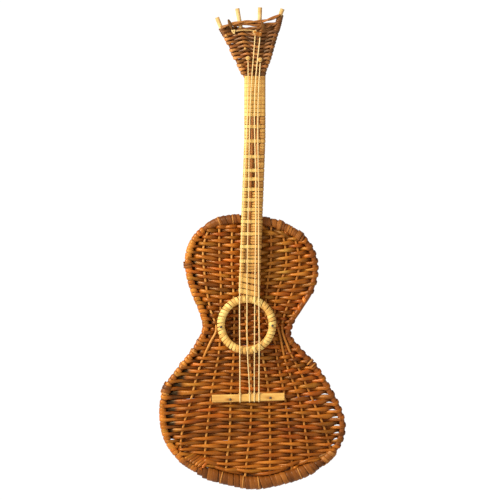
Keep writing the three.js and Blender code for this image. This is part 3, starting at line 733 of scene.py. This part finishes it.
def keys_between(row, last_stop, stop, tone):
    """A row's key points between two stops, each (place, x). Beside a rim it leaves a pocket, its rod
    painted darker as shade.
    """
    (last_place, last_x), (place, x) = last_stop, stop
    left_place = min(place, last_place)
    if abs(x - last_x) <= 7:
        return []
    if left_place > 0 and max(place, last_place) < 9:
        share, fill = (0.43, 0.51) if row_side(row, left_place) > 0 else (0.57, 0.7)
        middle = min(x, last_x) + abs(x - last_x) * share
        # Mid-span the row is painted a little darker: painted shade where it passes between its
        # neighbours.
        return [upright_key(middle, PANEL_Y, row_z(row, middle), row_gap(row, middle) * fill, 1.95,
                            tone - 0.08)]
    at_right = left_place > 0
    towards_rim = place == (9 if at_right else 0)
    rim_x, stake_x = (x, last_x) if towards_rim else (last_x, x)
    middle = rim_x + (-5.0 if at_right else 5.0)
    z = row_z(row, middle)
    if row_side(row, 9 if at_right else 0) < 0:
        return [upright_key(middle, PANEL_Y - 1.6, z, row_gap(row, middle) * 0.47, 1.8, tone)]
    # shade here is painted shade: the pocket's rod lies deep behind the rim and is painted darker, most
    # at the left.
    low, high, thin, shade = (-545, -462, 0.44, 0.28) if at_right else (-533, -524, 0.6, 0.6)
    loose = low < z < high
    pocket = upright_key(middle, PANEL_Y + 3.2, z + 0.9 * loose,
                         row_gap(row, middle) * (thin if loose else 0.85), 1.4, tone - shade)
    emerging = rim_x + (stake_x - rim_x) * 0.64
    tip = upright_key(emerging, PANEL_Y - 0.6, row_z(row, emerging),
                      row_gap(row, emerging) * 0.62, 1.8, tone)
    if abs(stake_x - rim_x) <= 13:
        return [pocket]
    return [tip, pocket] if towards_rim else [pocket, tip]


def key_at_stake(row, place, x, tone):
    """A row's key point in front of or behind a stake."""
    side, z = row_side(row, place), row_z(row, x)
    out = stands_out(place, z)
    depth = side * WEAVE_OFFSET * (1 - out) + 2.0 * out
    # Rows behind a stake are painted darker as shade; rows right of x 26 in the upper body are made a
    # little lighter.
    shade = vary(0.1) - 0.12 * (side > 0) + 0.12 * (x > 26 and row < 22)
    return upright_key(x, PANEL_Y + depth, z, row_gap(row, x) * (0.48 if side < 0 else 0.72), 2.05,
                       tone + shade)


def turn_keys(row, direction, side, tone):
    """Key points from the end of a row to the start of the next one, round or inside the rim."""
    end, following = edge(row, direction), edge(row + 1, direction)
    if end[2]:
        return wrap_keys(end, following, side, tone, direction < 0)
    keys = []
    for share, turn in ((0, side), (0.5, 0), (1, -side)):
        place = end[0] * (1 - share) + following[0] * share
        keys.append(upright_key(place[0] + direction * 2.4 * (turn == 0),
                                PANEL_Y + turn * WEAVE_OFFSET, place[2], 2.1, 1.8, tone))
    return keys


for weaver in range(WEAVERS):
    keys = []
    weaver_tone = rng.uniform(0.46, 0.58)
    for k in range(ROWS_PER_WEAVER):
        row = weaver * ROWS_PER_WEAVER + k
        direction = 1 if row % 2 == 0 else -1
        start, end = edge(row, -direction), edge(row, direction)
        tone = weaver_tone + vary(0.14)
        places = row_stakes(row, start[0][0], end[0][0], direction)
        before = places[0][0] - direction if places else 4
        after = places[-1][0] + direction if places else 4 + direction
        stops = [(before, start[0][0])] + places + [(after, end[0][0])]
        if k == 0:
            keys.append(upright_key(start[0][0], PANEL_Y + row_side(row, before) * WEAVE_OFFSET,
                                    start[0][2], 2.5, 1.8, tone))
        for last_stop, stop in zip(stops, stops[1:]):
            keys += keys_between(row, last_stop, stop, tone)
            if stop in places:
                keys.append(key_at_stake(row, *stop, tone))
        side = row_side(row, after)
        if k < ROWS_PER_WEAVER - 1:
            keys += turn_keys(row, direction, side, tone)
    keys.append(upright_key(end[0][0], PANEL_Y + side * (WEAVE_OFFSET + 0.4 * end[2]), end[0][2],
                            2.2, 1.6, tone))
    strand = Strands()
    sweep_weaver(strand, keys, weaver)
    if weaver < WEAVERS - 1 and end[2] and edge(row + 1, direction)[2]:
        sweep_weaver(strand, turn_keys(row, direction, side, tone), 0)
    for packing in PACKING_ROWS.get(weaver, ()):
        packing_row(strand, *packing, weaver == 0)
    if weaver == WEAVERS - 1:
        for k in range(7):
            lashed(strand, (-75 + 3.5 * k, -548.6 - 1.2 * k), (-89 + 3.7 * k, -556 - 2.6 * k),
                   0.52 + 0.14 * vary(1))
    name = f"weaver_{weaver + 1:02d}"
    strand.build(name + "_willow", weave, "brown_willow", [name])

# ---------- neck ----------
neck_heights = [z for _, z in NECK_LINE]
neck_places = [x for x, _ in NECK_LINE]


def neck_x(z):
    return float(np.interp(z, neck_heights, neck_places))


rod_lines = []
for number, offset in enumerate(ROD_OFFSETS):
    keys = [(x + offset, NECK_Y, z) for x, z in NECK_LINE]
    keys += [(x, NECK_Y, z) for x, z in HEAD_RODS[number]]
    line = spline(keys, 5.0)
    rod_lines.append(line)
    peel = (-12, -8, -8, -2)[number]
    lower = line[line[:, 2] < peel + 6]
    upper = line[line[:, 2] >= peel]
    rod = Strands()
    radius = ROD_RADIUS * 0.9
    shine = np.where(lower[:, 2] < -64, 0.82, 0.3)
    rod.sweep(lower, (0, 1, 0), radius, radius, shine + 0.1 * vary(1, len(lower)), sides=14)
    rod.build(f"neck_rod_{number + 1}_shaft", rod_bark, "brown_willow",
              [f"neck_rod_{number + 1}"])
    tip = Strands()
    taper = np.linspace(1.0, 1.08, len(upper))
    tip.sweep(upper, (0, 1, 0), ROD_RADIUS * taper, ROD_RADIUS * taper,
              0.55 + 0.15 * vary(1, 8), sides=16, ends="cut")
    tip.build(f"neck_rod_{number + 1}_tip", peeled, "pale_cane")

neck = Strands()


def neck_loop(z, kind, slant=0.0):
    """A loop round the neck. kind says which of the middle rods it passes in front of."""
    centre, outer, r = neck_x(z), ROD_OFFSETS[3], ROD_RADIUS + 0.5
    front = {
        "over": [(-5, -r + 0.1), (-3.4, -r), (0, -r + 0.1), (3.4, -r), (5, -r + 0.1)],
        "dip": [(-7.0, -1.3), (-5.9, -0.3), (-4.9, -1.5), (-3.0, -r), (0, -r + 0.1), (4, -r)],
        "both": [(-6.8, -0.6), (-3.4, r - 0.1), (0, r), (3.4, r - 0.1), (6.8, -0.6)],
        "first": [(-6.8, -0.6), (-3.4, r - 0.1), (0, -0.4), (3.4, -r), (6, -r + 0.1)],
    }[kind]
    loop = [(-outer - r, 0), (-outer - r * 0.5, -r * 0.87), (-outer, -r - 0.05),
            (-outer + 1.7, -r + 0.1), *front, (outer - 1.7, -r + 0.1), (outer, -r - 0.05),
            (outer + r * 0.5, -r * 0.87), (outer + r, 0), (outer + r * 0.6, r * 0.9),
            (outer, r + 0.6), (3.4, r + 1.0), (-3.4, r + 1.0), (-outer, r + 0.6),
            (-outer - r * 0.6, r * 0.9)]
    return spline([(centre + x, NECK_Y + y, z + slant * x) for x, y in loop], 1.1, closed=True)


def neck_turn(z, kind, half, tone, slant=0.0, thick=0.42, fade=0.15):
    """One turn of flat cane round the neck. fade darkens its right and lightens its left: painted light
    and shade, lit from the left.
    """
    line = neck_loop(z, kind, slant)
    behind = np.clip((line[:, 1] - NECK_Y) / 2, 0, 1)
    tones = tone - fade * np.clip((line[:, 0] - neck_x(z)) / 12, -1, 1)
    neck.sweep(line, (0, 0, 1), half * (1 + 0.3 * behind), thick, tones, sides=10, power=3.6,
               closed=True)


first_turn = -68.6
pitch = (first_turn - FRETS[0]) / 9
for k in range(9):
    z = first_turn - k * pitch
    neck_turn(z, "over", 2.56 if k < 4 else 2.42, 0.66 + vary(0.1), vary(0.004))
    neck_turn(z - pitch / 2, "both", 0.8, 0.5 + vary(0.1))
for upper_fret, lower_fret in zip(FRETS, FRETS[1:] + (-318.0,)):
    # Fret turns are painted more strongly lighter at the left and darker at the right.
    neck_turn(upper_fret, "over", 2.25, 0.78, vary(0.01), 0.6, fade=0.28)
    count = round((upper_fret - lower_fret) / 4.1)
    gap = (upper_fret - lower_fret - 2.2) / count
    kind = "both" if upper_fret > -200 else "first" if upper_fret > -280 else "dip"
    for k in range(1, count):
        half = gap * (0.475 if kind == "both" else 0.445)
        tone = 0.46 if kind == "dip" else 0.56
        neck_turn(upper_fret - 1.1 - gap * k, kind, half, tone + vary(0.1),
                  vary(0.015) * (2.5 if kind == "dip" else 1), 0.5)
for z, slant, half, tone in ((-319.5, -0.1, 2.3, 0.5), (-326.0, -0.2, 3.1, 0.64),
                             (-334.0, -0.24, 3.2, 0.54), (-341.0, -0.22, 3.0, 0.66)):
    neck_turn(z, "over", half, tone, slant, 0.6)
# The dark slit where the lower turns dip in between the two left rods.
slit = [(neck_x(z) - 5.9, NECK_Y - 3.0, z) for z in np.arange(-286, -319, -3.0)]
neck.sweep(spline(slit, 1.5), (1, 0, 0), 0.9, 0.6, 0.08, sides=8)
neck.build("neck_winding", cane, "pale_cane", ["neck_wrap"])

# ---------- head ----------
ROWS_PER_HEAD_WEAVER = 8
HEAD_TOP = -13.5
HEAD_PITCH = 2.3
HEAD_OFFSET = 3.6
# The cut ends of rods that stand out of the weave, one in each head weaver, as x and z.
HEAD_NUBS = ((-30.5, -15.5), (-6.3, -32.1), (-12.0, -53.6))


def line_x(line, z):
    order = np.argsort(line[:, 2])
    return float(np.interp(z, line[order, 2], line[order, 0]))


def head_z(row, x):
    """A head row's height at x. The rows rise more where the rods fan out."""
    base = HEAD_TOP - row * HEAD_PITCH
    xs = [line_x(line, base) for line in rod_lines]
    fan = (xs[3] - xs[0]) / 60
    lifts = (2.5 * fan, 7.2 * fan, 2.6 * fan, 5.0 * fan)
    return base + float(np.interp(x, xs, lifts))


def head_cross(line, row):
    """Where a head row crosses a rod, as x and z."""
    z = head_z(row, line_x(line, HEAD_TOP - row * HEAD_PITCH))
    return line_x(line, z), z


for bundle in range(3):
    keys = []
    for k in range(ROWS_PER_HEAD_WEAVER):
        row = bundle * ROWS_PER_HEAD_WEAVER + k
        direction = 1 if row % 2 == 0 else -1
        order = list(range(4)) if direction > 0 else [3, 2, 1, 0]
        tone = 0.6 + vary(0.26)
        for number in order:
            x, z = head_cross(rod_lines[number], row)
            side = -1 if (row + number) % 2 == 0 else 1
            # Between two rods the row is painted darker as shade.
            if number != order[0]:
                last_x, last_z = head_cross(rod_lines[number - direction], row)
                keys.append(upright_key((x + last_x) / 2, NECK_Y, (z + last_z) / 2, 1.68, 1.5,
                                        tone - 0.16))
            # In front of a rod the row is painted lighter and behind it darker: painted light and
            # shade.
            if number in (1, 2) or (k == 0 and number == order[0]):
                keys.append(upright_key(x, NECK_Y + side * HEAD_OFFSET, z, 1.62, 1.5,
                                        tone + vary(0.12) - 0.14 * side))
        outward = unit(np.array([direction, 0, -0.45]))
        if k < ROWS_PER_HEAD_WEAVER - 1:
            next_x, next_z = head_cross(rod_lines[order[-1]], row + 1)
            for degrees in np.arange(-24, 205, 38):
                along = np.clip((degrees - 90) / 180, -0.5, 0.5) * 0.8 + 0.5
                angle = math.radians(degrees)
                place = np.array([x + (next_x - x) * along, NECK_Y, z + (next_z - z) * along])
                place = place + outward * 3.1 * math.sin(angle)
                place = place + np.array([0, side * 3.3 * math.cos(angle), 0])
                swell = math.sin(max(angle, 0)) if degrees < 180 else 0
                # Turns at the left end are painted lighter and those at the right darker: painted light
                # from the left.
                keys.append([*place, 0.45 * direction, 0, 1, 1.7 + 0.7 * swell, 0.65,
                             tone + 0.3 * (direction < 0) - 0.08 * (direction > 0)])
        else:
            keys.append(upright_key(x, NECK_Y + side * HEAD_OFFSET, z, 1.4, 1, tone))
    line = spline(keys, 1.2)
    strand = Strands()
    strand.sweep(line[:, :3], line[:, 3:6], *line[:, 6:9].T, sides=10, power=2.5)
    x, z = HEAD_NUBS[bundle]
    nub = [(x + 2.5, NECK_Y + 1, z - 1), (x + 0.4, NECK_Y - 3.8, z - 0.2), (x, NECK_Y - 6.0, z)]
    strand.sweep(spline(nub, 0.8), (0, 0, 1), 1.75, 1.75, 1.15, sides=12)
    if bundle == 2:
        strand.sweep(neck_loop(-65.6, "over"), (0, 0, 1), 1.7, 0.5, 0.3, sides=10, closed=True)
    name = f"head_weaver_{bundle + 1:02d}"
    strand.build(name + "_willow", head_weave, "brown_willow", [name])


def twisted(strands, keys, ply_radius, spread, twist, tone, step=1.0, plies=2):
    """Plies twisted together along a line of keys in the plane of the front."""
    line = spline(keys, step)[:, :3]
    along = np.concatenate([[0], np.cumsum(np.linalg.norm(np.diff(line, axis=0), axis=1))])
    tangents = unit(np.gradient(line, axis=0))
    sideways = unit(np.cross(tangents, np.array([0, 1, 0])))
    for ply in range(plies):
        angle = along / twist * 2 * math.pi + ply * 2 * math.pi / plies
        path = line + spread * (np.cos(angle)[:, None] * sideways
                                + np.sin(angle)[:, None] * np.array([0, 1, 0]))
        strands.sweep(path, (0, 1, 0), ply_radius, ply_radius, tone + 0.1 * vary(1, 6), sides=8)


def circling(count, per_turn):
    """Steps round a circle that has per_turn of them: each one's number, cosine and sine."""
    for k in range(count):
        angle = k / per_turn * 2 * math.pi
        yield k, math.cos(angle), math.sin(angle)


def lay(strands, keys, half, thick, tone):
    """A rod of the head along keys of x, depth behind the middle of the neck's rods, and z."""
    line = spline([(x, NECK_Y + depth, z) for x, depth, z in keys], 1.2)
    strands.sweep(line, (0, 0, 1), half, thick, tone, sides=8)


strand_y = NECK_Y - 4.6
top_strand = Strands()
twisted(top_strand, [(-36.5, NECK_Y - 3.2, -5.5), (-26.7, strand_y, -2), (-12.7, strand_y - 0.5, 1),
                     (0, strand_y, 1.9), (12.2, strand_y - 0.5, 2), (25.4, strand_y, 5.2),
                     (38, NECK_Y - 3.4, 10.6)], 1.3, 0.95, 34, 0.72)
for line, place, turns in ((rod_lines[0], -6.5, 4), (rod_lines[3], 9.5, 8)):
    keys = []
    for k, cosine, sine in circling(turns * 10 + 1, 10):
        z = place - HEAD_PITCH * k / 10
        keys.append((line_x(line, z) + 3.5 * cosine, NECK_Y + 3.5 * sine, z))
    top_strand.sweep(spline(keys, 1.0), (0, 0, 1), 1.35, 0.9, 0.42, sides=8)
top_strand.build("head_top_strand_twist", head_weave, "brown_willow", ["head_top_strand"])

lower_strand = Strands()
twisted(lower_strand, [(-15, strand_y + 1, -7.6), (-6, strand_y, -6.9), (3, strand_y, -7.3),
                       (14, strand_y, -6.5), (28, strand_y + 1.2, -2.2), (34, NECK_Y - 3, -1)],
        0.9, 0.8, 15, 0.5)
for z, lift, tone in ((-3.5, 2.4, 0.6), (-6.5, 3.6, 0.4), (-9.3, 4.4, 0.62), (-11.6, 4.2, 0.5)):
    lay(lower_strand, [(9.5, 3.2, z + 0.8), (13, -3.9, z), (22, -1.0, z + 0.45 * lift),
                       (33.5, 3.6, z + lift)], 1.75, 1.0, tone)
for rod_1_z, rod_2_z, half, tone in ((-2.8, -2.5, 1.3, 0.5), (-5.6, -6.6, 1.9, 0.35),
                                     (-8.6, -8.6, 2.0, 0.45), (-11.2, -10.6, 1.9, 0.3)):
    lay(lower_strand, [(-35.5, 2.8, rod_1_z - 1), (-31, 0.4, rod_1_z),
                       (-22, 1.4, (rod_1_z + rod_2_z) / 2 + 0.6), (-12.5, 3.4, rod_2_z)],
        half, 1.0, tone)
lay(lower_strand, [(-20, 2, -4.5), (-13.5, -4.0, -1.4), (-6, -3.4, -0.9), (0, -3.2, -1.4),
                   (5, -3.6, -2.4), (12.2, -4.0, -2.2), (22, -2.5, -0.6), (33.5, -3.6, -0.4)],
    1.6, 1.1, 0.62)
lay(lower_strand, [(-13.5, 3.6, -5.6), (-6, 0.6, -6.8), (0, -0.5, -6.0), (12, -3.9, -5.4),
                   (22, 0, -2.5), (32, 3.4, 0.5)], 1.6, 1.1, 0.62)
lay(lower_strand, [(-12.5, 3.2, -0.6), (-6, -1.0, -0.4), (2, -2.6, -0.3), (11.5, 3.3, -0.2)],
    1.5, 1.1, 0.45)
for z, lift, tone in ((-9.0, 1.8, 0.45), (-11.4, 2.2, 0.55)):
    lay(lower_strand, [(-33, -3.5, z - 1.6), (-22, 0.5, z - 0.2), (-11.5, 3.7, z + lift),
                       (-2, 0.5, z + lift * 0.6), (9, -3.6, z)], 1.25, 1.0, tone)
lower_strand.build("head_lower_strand_twist", head_weave, "brown_willow", ["head_lower_strand"])

head_twine = Strands()
twisted(head_twine, [(-19, NECK_Y - 5.4, -10.2), (-8, NECK_Y - 5.2, -8.6), (4, NECK_Y - 5.0, -9.3)],
        0.45, 0.38, 3.2, 0.6, step=0.5)
for centre_x, centre_z, turn in ((-20.5, -9.8, 0.3), (-19.4, -11.0, 1.4), (-21.8, -10.8, 2.2)):
    centre = np.array([centre_x, NECK_Y - 5.6, centre_z])
    across = np.array([math.cos(turn), 0, math.sin(turn)])
    keys = [centre + 2.3 * cosine * across + np.array([0, -1.1 * sine, 0.8 * sine])
            for _, cosine, sine in circling(12, 12)]
    head_twine.sweep(spline(keys, 0.7, closed=True), (0, 1, 0), 0.6, 0.6, 0.7, sides=8, closed=True)
head_twine.build("head_twine_knot", twine, "cord_fibre", ["head_twine"])

tongues = Strands()
for keys in ([(-27.5, strand_y - 1.2, 4.6), (-25.5, strand_y - 1.9, -0.5), (-23, strand_y - 1.3, -7.5)],
             [(17.0, strand_y - 1.0, -9), (16.4, strand_y - 1.9, -3), (14.2, strand_y - 1.4, 2.8)]):
    line = spline(keys, 0.9)
    width = 2.1 * np.sin(np.linspace(0.15, 1, len(line)) * math.pi * 0.93) + 0.15
    tongues.sweep(line, (1, 0, 0.3), width, 0.5, 0.4, sides=10, power=2.4)
tongues.build("bark_tongues", bark, "brown_willow")

# ---------- soundhole hoop ----------
ring_centre = np.array(RING)


def ring_point(angle, radius, depth):
    return ring_centre + np.array([radius * math.cos(angle), depth, radius * math.sin(angle)])


hoop = Strands()
circle = [ring_point(a, RING_RADIUS, 0) for a in np.linspace(0, 2 * math.pi, 96, endpoint=False)]
hoop.sweep(circle, (0, 1, 0), 3.95, 3.95, 0.05, sides=14, closed=True)
hoop.build("soundhole_core_rod", stake_bark, "stake_willow", ["soundhole_ring_core"])

TURNS = 47
STEPS_PER_HOOP_TURN = 24
HOOP_WRAP_RADIUS = 4.45
hoop_wrap = Strands()
path, ups, tones = [], [], []
turn_tone = 0.76 + vary(0.17, TURNS + 1)
turn_shift = vary(0.012, TURNS + 1)
for k in range(TURNS * STEPS_PER_HOOP_TURN):
    share = k / (TURNS * STEPS_PER_HOOP_TURN)
    turn = share * TURNS
    nudge = turn_shift[int(turn)] * math.sin(math.pi * (turn % 1))
    angle = 2 * math.pi * share + nudge
    phi = 2 * math.pi * turn + math.pi / 2
    path.append(ring_point(angle, RING_RADIUS + HOOP_WRAP_RADIUS * math.cos(phi),
                           HOOP_WRAP_RADIUS * math.sin(phi)))
    ups.append([-math.sin(angle), 0, math.cos(angle)])
    tones.append(turn_tone[int(turn)])
hoop_wrap.sweep(path, ups, 2.0, 0.48, tones, sides=10, power=5.0, closed=True)
hoop_wrap.build("soundhole_winding", cane, "pale_cane", ["soundhole_ring_wrap"])


# ---------- nails ----------
def nail(name, centre, radius, length, node):
    """A nail along +Y with a shallow domed head whose back is at centre."""
    profile = [(0.0, -0.9), (0.35, -0.87), (0.7, -0.74), (0.93, -0.5), (1.0, -0.28), (0.97, -0.08),
               (0.9, 0.0)]
    rings = [(radius * r, y * radius * 0.62) for r, y in profile]
    rings += [(radius * 0.45, 0.05), (radius * 0.45, length - 1.5), (0.05, length)]
    strands = Strands()
    sides = 24
    angles = np.arange(sides) / sides * 2 * np.pi
    points = np.vstack([
        np.stack([r * np.cos(angles), np.full(sides, y), r * np.sin(angles)], 1) for r, y in rings])
    points = points + np.asarray(centre)
    i = np.repeat(np.arange(len(rings) - 1), sides)
    j = np.tile(np.arange(sides), len(rings) - 1)
    quads = np.stack([i * sides + j, (i + 1) * sides + j, (i + 1) * sides + (j + 1) % sides,
                      i * sides + (j + 1) % sides], 1)
    uvs = np.zeros((len(quads), 4, 2))
    strands.take(points, quads, uvs, np.full(len(points), 0.5))
    strands.build(name, steel, "nail_steel", [node])


for label, degrees in (("left", 184.9), ("right", -2.2)):
    angle = math.radians(degrees)
    spot = ring_point(angle, RING_RADIUS, -5.25)
    nail(f"ring_nail_{label}_head", spot, 1.6, 10, f"ring_nail_{label}")

# ---------- bridge ----------
tilt = np.array([math.cos(BRIDGE_TILT), 0, math.sin(BRIDGE_TILT)])
lift = np.array([-math.sin(BRIDGE_TILT), 0, math.cos(BRIDGE_TILT)])
bridge_centre = np.array(BRIDGE)


def on_bridge(along, across, out):
    """A point along the bridge, across it, and out in front of its middle."""
    return bridge_centre + tilt * along + lift * across + np.array([0, -out, 0])


BRIDGE_FACE = 3.3
places = np.linspace(-46, 46, 130)
joint = np.exp(-((places - 12) / 2.2) ** 2)
line = [on_bridge(s, 0.12 * math.sin(s / 11), 1.75) for s in places]
width = 4.9 + 0.12 * np.sin(places / 9) + 0.16 * joint
thick = 1.55 + 0.05 * np.sin(places / 7) + 0.18 * joint
bridge = Strands()
bridge.sweep(line, lift, width, thick, 0.6 + 0.08 * vary(1, 9), sides=28, power=3.0,
             ends="cut")
strip = bridge.build("bridge_cane", cane, "pale_cane", ["bridge"])
for label, along, across in (("left", -22.9, -1.6), ("right", 28.1, -1.1)):
    stain = on_bridge(along - 1, across, BRIDGE_FACE) / 1000
    for vertex, tone in zip(strip.data.vertices, strip.data.attributes["tone"].data):
        reach = ((vertex.co.x - stain[0]) / 0.0052) ** 2 + ((vertex.co.z - stain[2]) / 0.0017) ** 2
        tone.value -= 0.62 * math.exp(-reach)
    nail(f"bridge_nail_{label}_head", on_bridge(along, across, BRIDGE_FACE), 1.5, 3.2,
         f"bridge_nail_{label}")

# ---------- strings and pegs ----------
for number, ((peg_x, peg_z), xs) in enumerate(STRINGS, 1):
    peg = Strands()
    tip = strand_y - 4.9
    peg_line = [(peg_x, y, peg_z) for y in (strand_y + 2.5, strand_y - 2, tip + 0.4)]
    peg.sweep(spline(peg_line, 0.8), (0, 0, 1), 1.75, 1.75, 0.6, sides=16)
    if number == 3:
        bar = [(peg_x - 5, tip + 1.4, peg_z + 0.9), (peg_x - 1.2, tip + 1.0, peg_z + 0.2),
               (peg_x + 2.6, tip + 1.2, peg_z - 0.7)]
        peg.sweep(spline(bar, 0.8), (0, 0, 1), 2.3, 1.6, 0.3, sides=16, ends="cut")
    peg.build(f"string_peg_{number}_stub", stake_bark if number in (2, 3) else cane, "pale_cane",
              [f"string_peg_{number}"])

    keys = []
    for k, cosine, sine in circling(33, 10):
        swing = 2.2 + 0.1 * math.sin(k)
        keys.append((peg_x + swing * cosine, strand_y - 1.1 - 0.085 * k, peg_z + swing * sine))
    end_x = xs[-1]
    surface = BRIDGE[1] - 3.5
    route = [(x, STRING_Y, z) for x, z in zip(xs[:-1], STRING_LEVELS[:-1])]
    bridge_z = BRIDGE[2] + math.tan(BRIDGE_TILT) * (end_x - BRIDGE[0])
    over = [(end_x, surface + y, bridge_z + z) for y, z in (
        (-0.5, 4.6), (-0.45, 0), (-0.1, -4.4), (1.9, -5.6), (3.2, -4.8))]
    start = [(peg_x + 0.2, STRING_Y + 0.2, peg_z - 4.5)]
    cord = Strands()
    cord.sweep(spline(keys, 0.8), (0, 1, 0), 0.62, 0.62, 0.6, sides=8)
    twisted(cord, start + route + over, 0.63, 0.13, 5.2, 0.86, step=0.9)
    for size, turn in ((1.25, 0.0), (1.1, 1.2)):
        loop = []
        for k in range(10):
            angle = k / 10 * 2 * math.pi
            loop.append((end_x + size * math.cos(angle + turn), surface - 0.6 - 0.5 * math.sin(angle),
                         bridge_z + 5.3 + 0.8 * math.sin(angle + turn)))
        cord.sweep(spline(loop, 0.5, closed=True), (0, 1, 0), 0.5, 0.5, 0.65, sides=8, closed=True)
    cord.build(f"string_{number}_cord", twine, "cord_fibre", [f"string_{number}"])

# ---------- stage, light and camera ----------
bpy.ops.mesh.primitive_plane_add(size=1, location=(0, 0, -1.0))
floor = bpy.context.object
floor.name = "floor"
floor.scale = (12, 9.4, 1)
floor.location.y = -2.0
floor_material, floor_tree, floor_shader = new_material("pale_floor")
feed(floor_tree, floor_shader, {"Base Color": (0.8, 0.8, 0.79, 1), "Roughness": 0.9})
floor.data.materials.append(floor_material)

world = bpy.data.worlds.new("studio")
bpy.context.scene.world = world
world.use_nodes = True
# The backdrop is brightest straight behind the object and soft grey elsewhere.
direction = add(world.node_tree, "TexCoord", {}).outputs["Generated"]
split = add(world.node_tree, "SeparateXYZ", {0: direction})
backdrop = add(world.node_tree, "MapRange", {
    "Value": split.outputs["Y"], "From Min": 0.8, "From Max": 0.95, "To Min": 0.42,
    "To Max": 1.05}, interpolation_type="SMOOTHSTEP")
feed(world.node_tree, world.node_tree.nodes["Background"], {
    "Color": (1, 1, 1, 1), "Strength": backdrop.outputs["Result"]})


def area_light(name, place, target, size, power, colour=(1, 1, 1)):
    data = bpy.data.lights.new(name, "AREA")
    data.shape = "RECTANGLE"
    data.size, data.size_y = size
    data.energy = power
    data.color = colour
    light = bpy.data.objects.new(name, data)
    light.location = place
    light.rotation_euler = (Vector(target) - Vector(place)).to_track_quat("-Z", "Y").to_euler()
    bpy.context.scene.collection.objects.link(light)


area_light("key", (-1.5, -1.15, 0.6), (0, 0, -0.3), (0.9, 0.9), 62, (1, 0.96, 0.9))
area_light("fill", (1.3, -1.6, -0.1), (0, 0, -0.33), (1.2, 1.2), 4)

camera_data = bpy.data.cameras.new("camera")
camera_data.sensor_width = 36
camera_data.lens = 250
camera = bpy.data.objects.new("camera", camera_data)
camera.location = (-0.0019, -4.418, -0.287)
camera.rotation_euler = (math.pi / 2, 0, 0)
bpy.context.scene.collection.objects.link(camera)
bpy.context.scene.camera = camera
bpy.context.scene.view_settings.view_transform = "Standard"
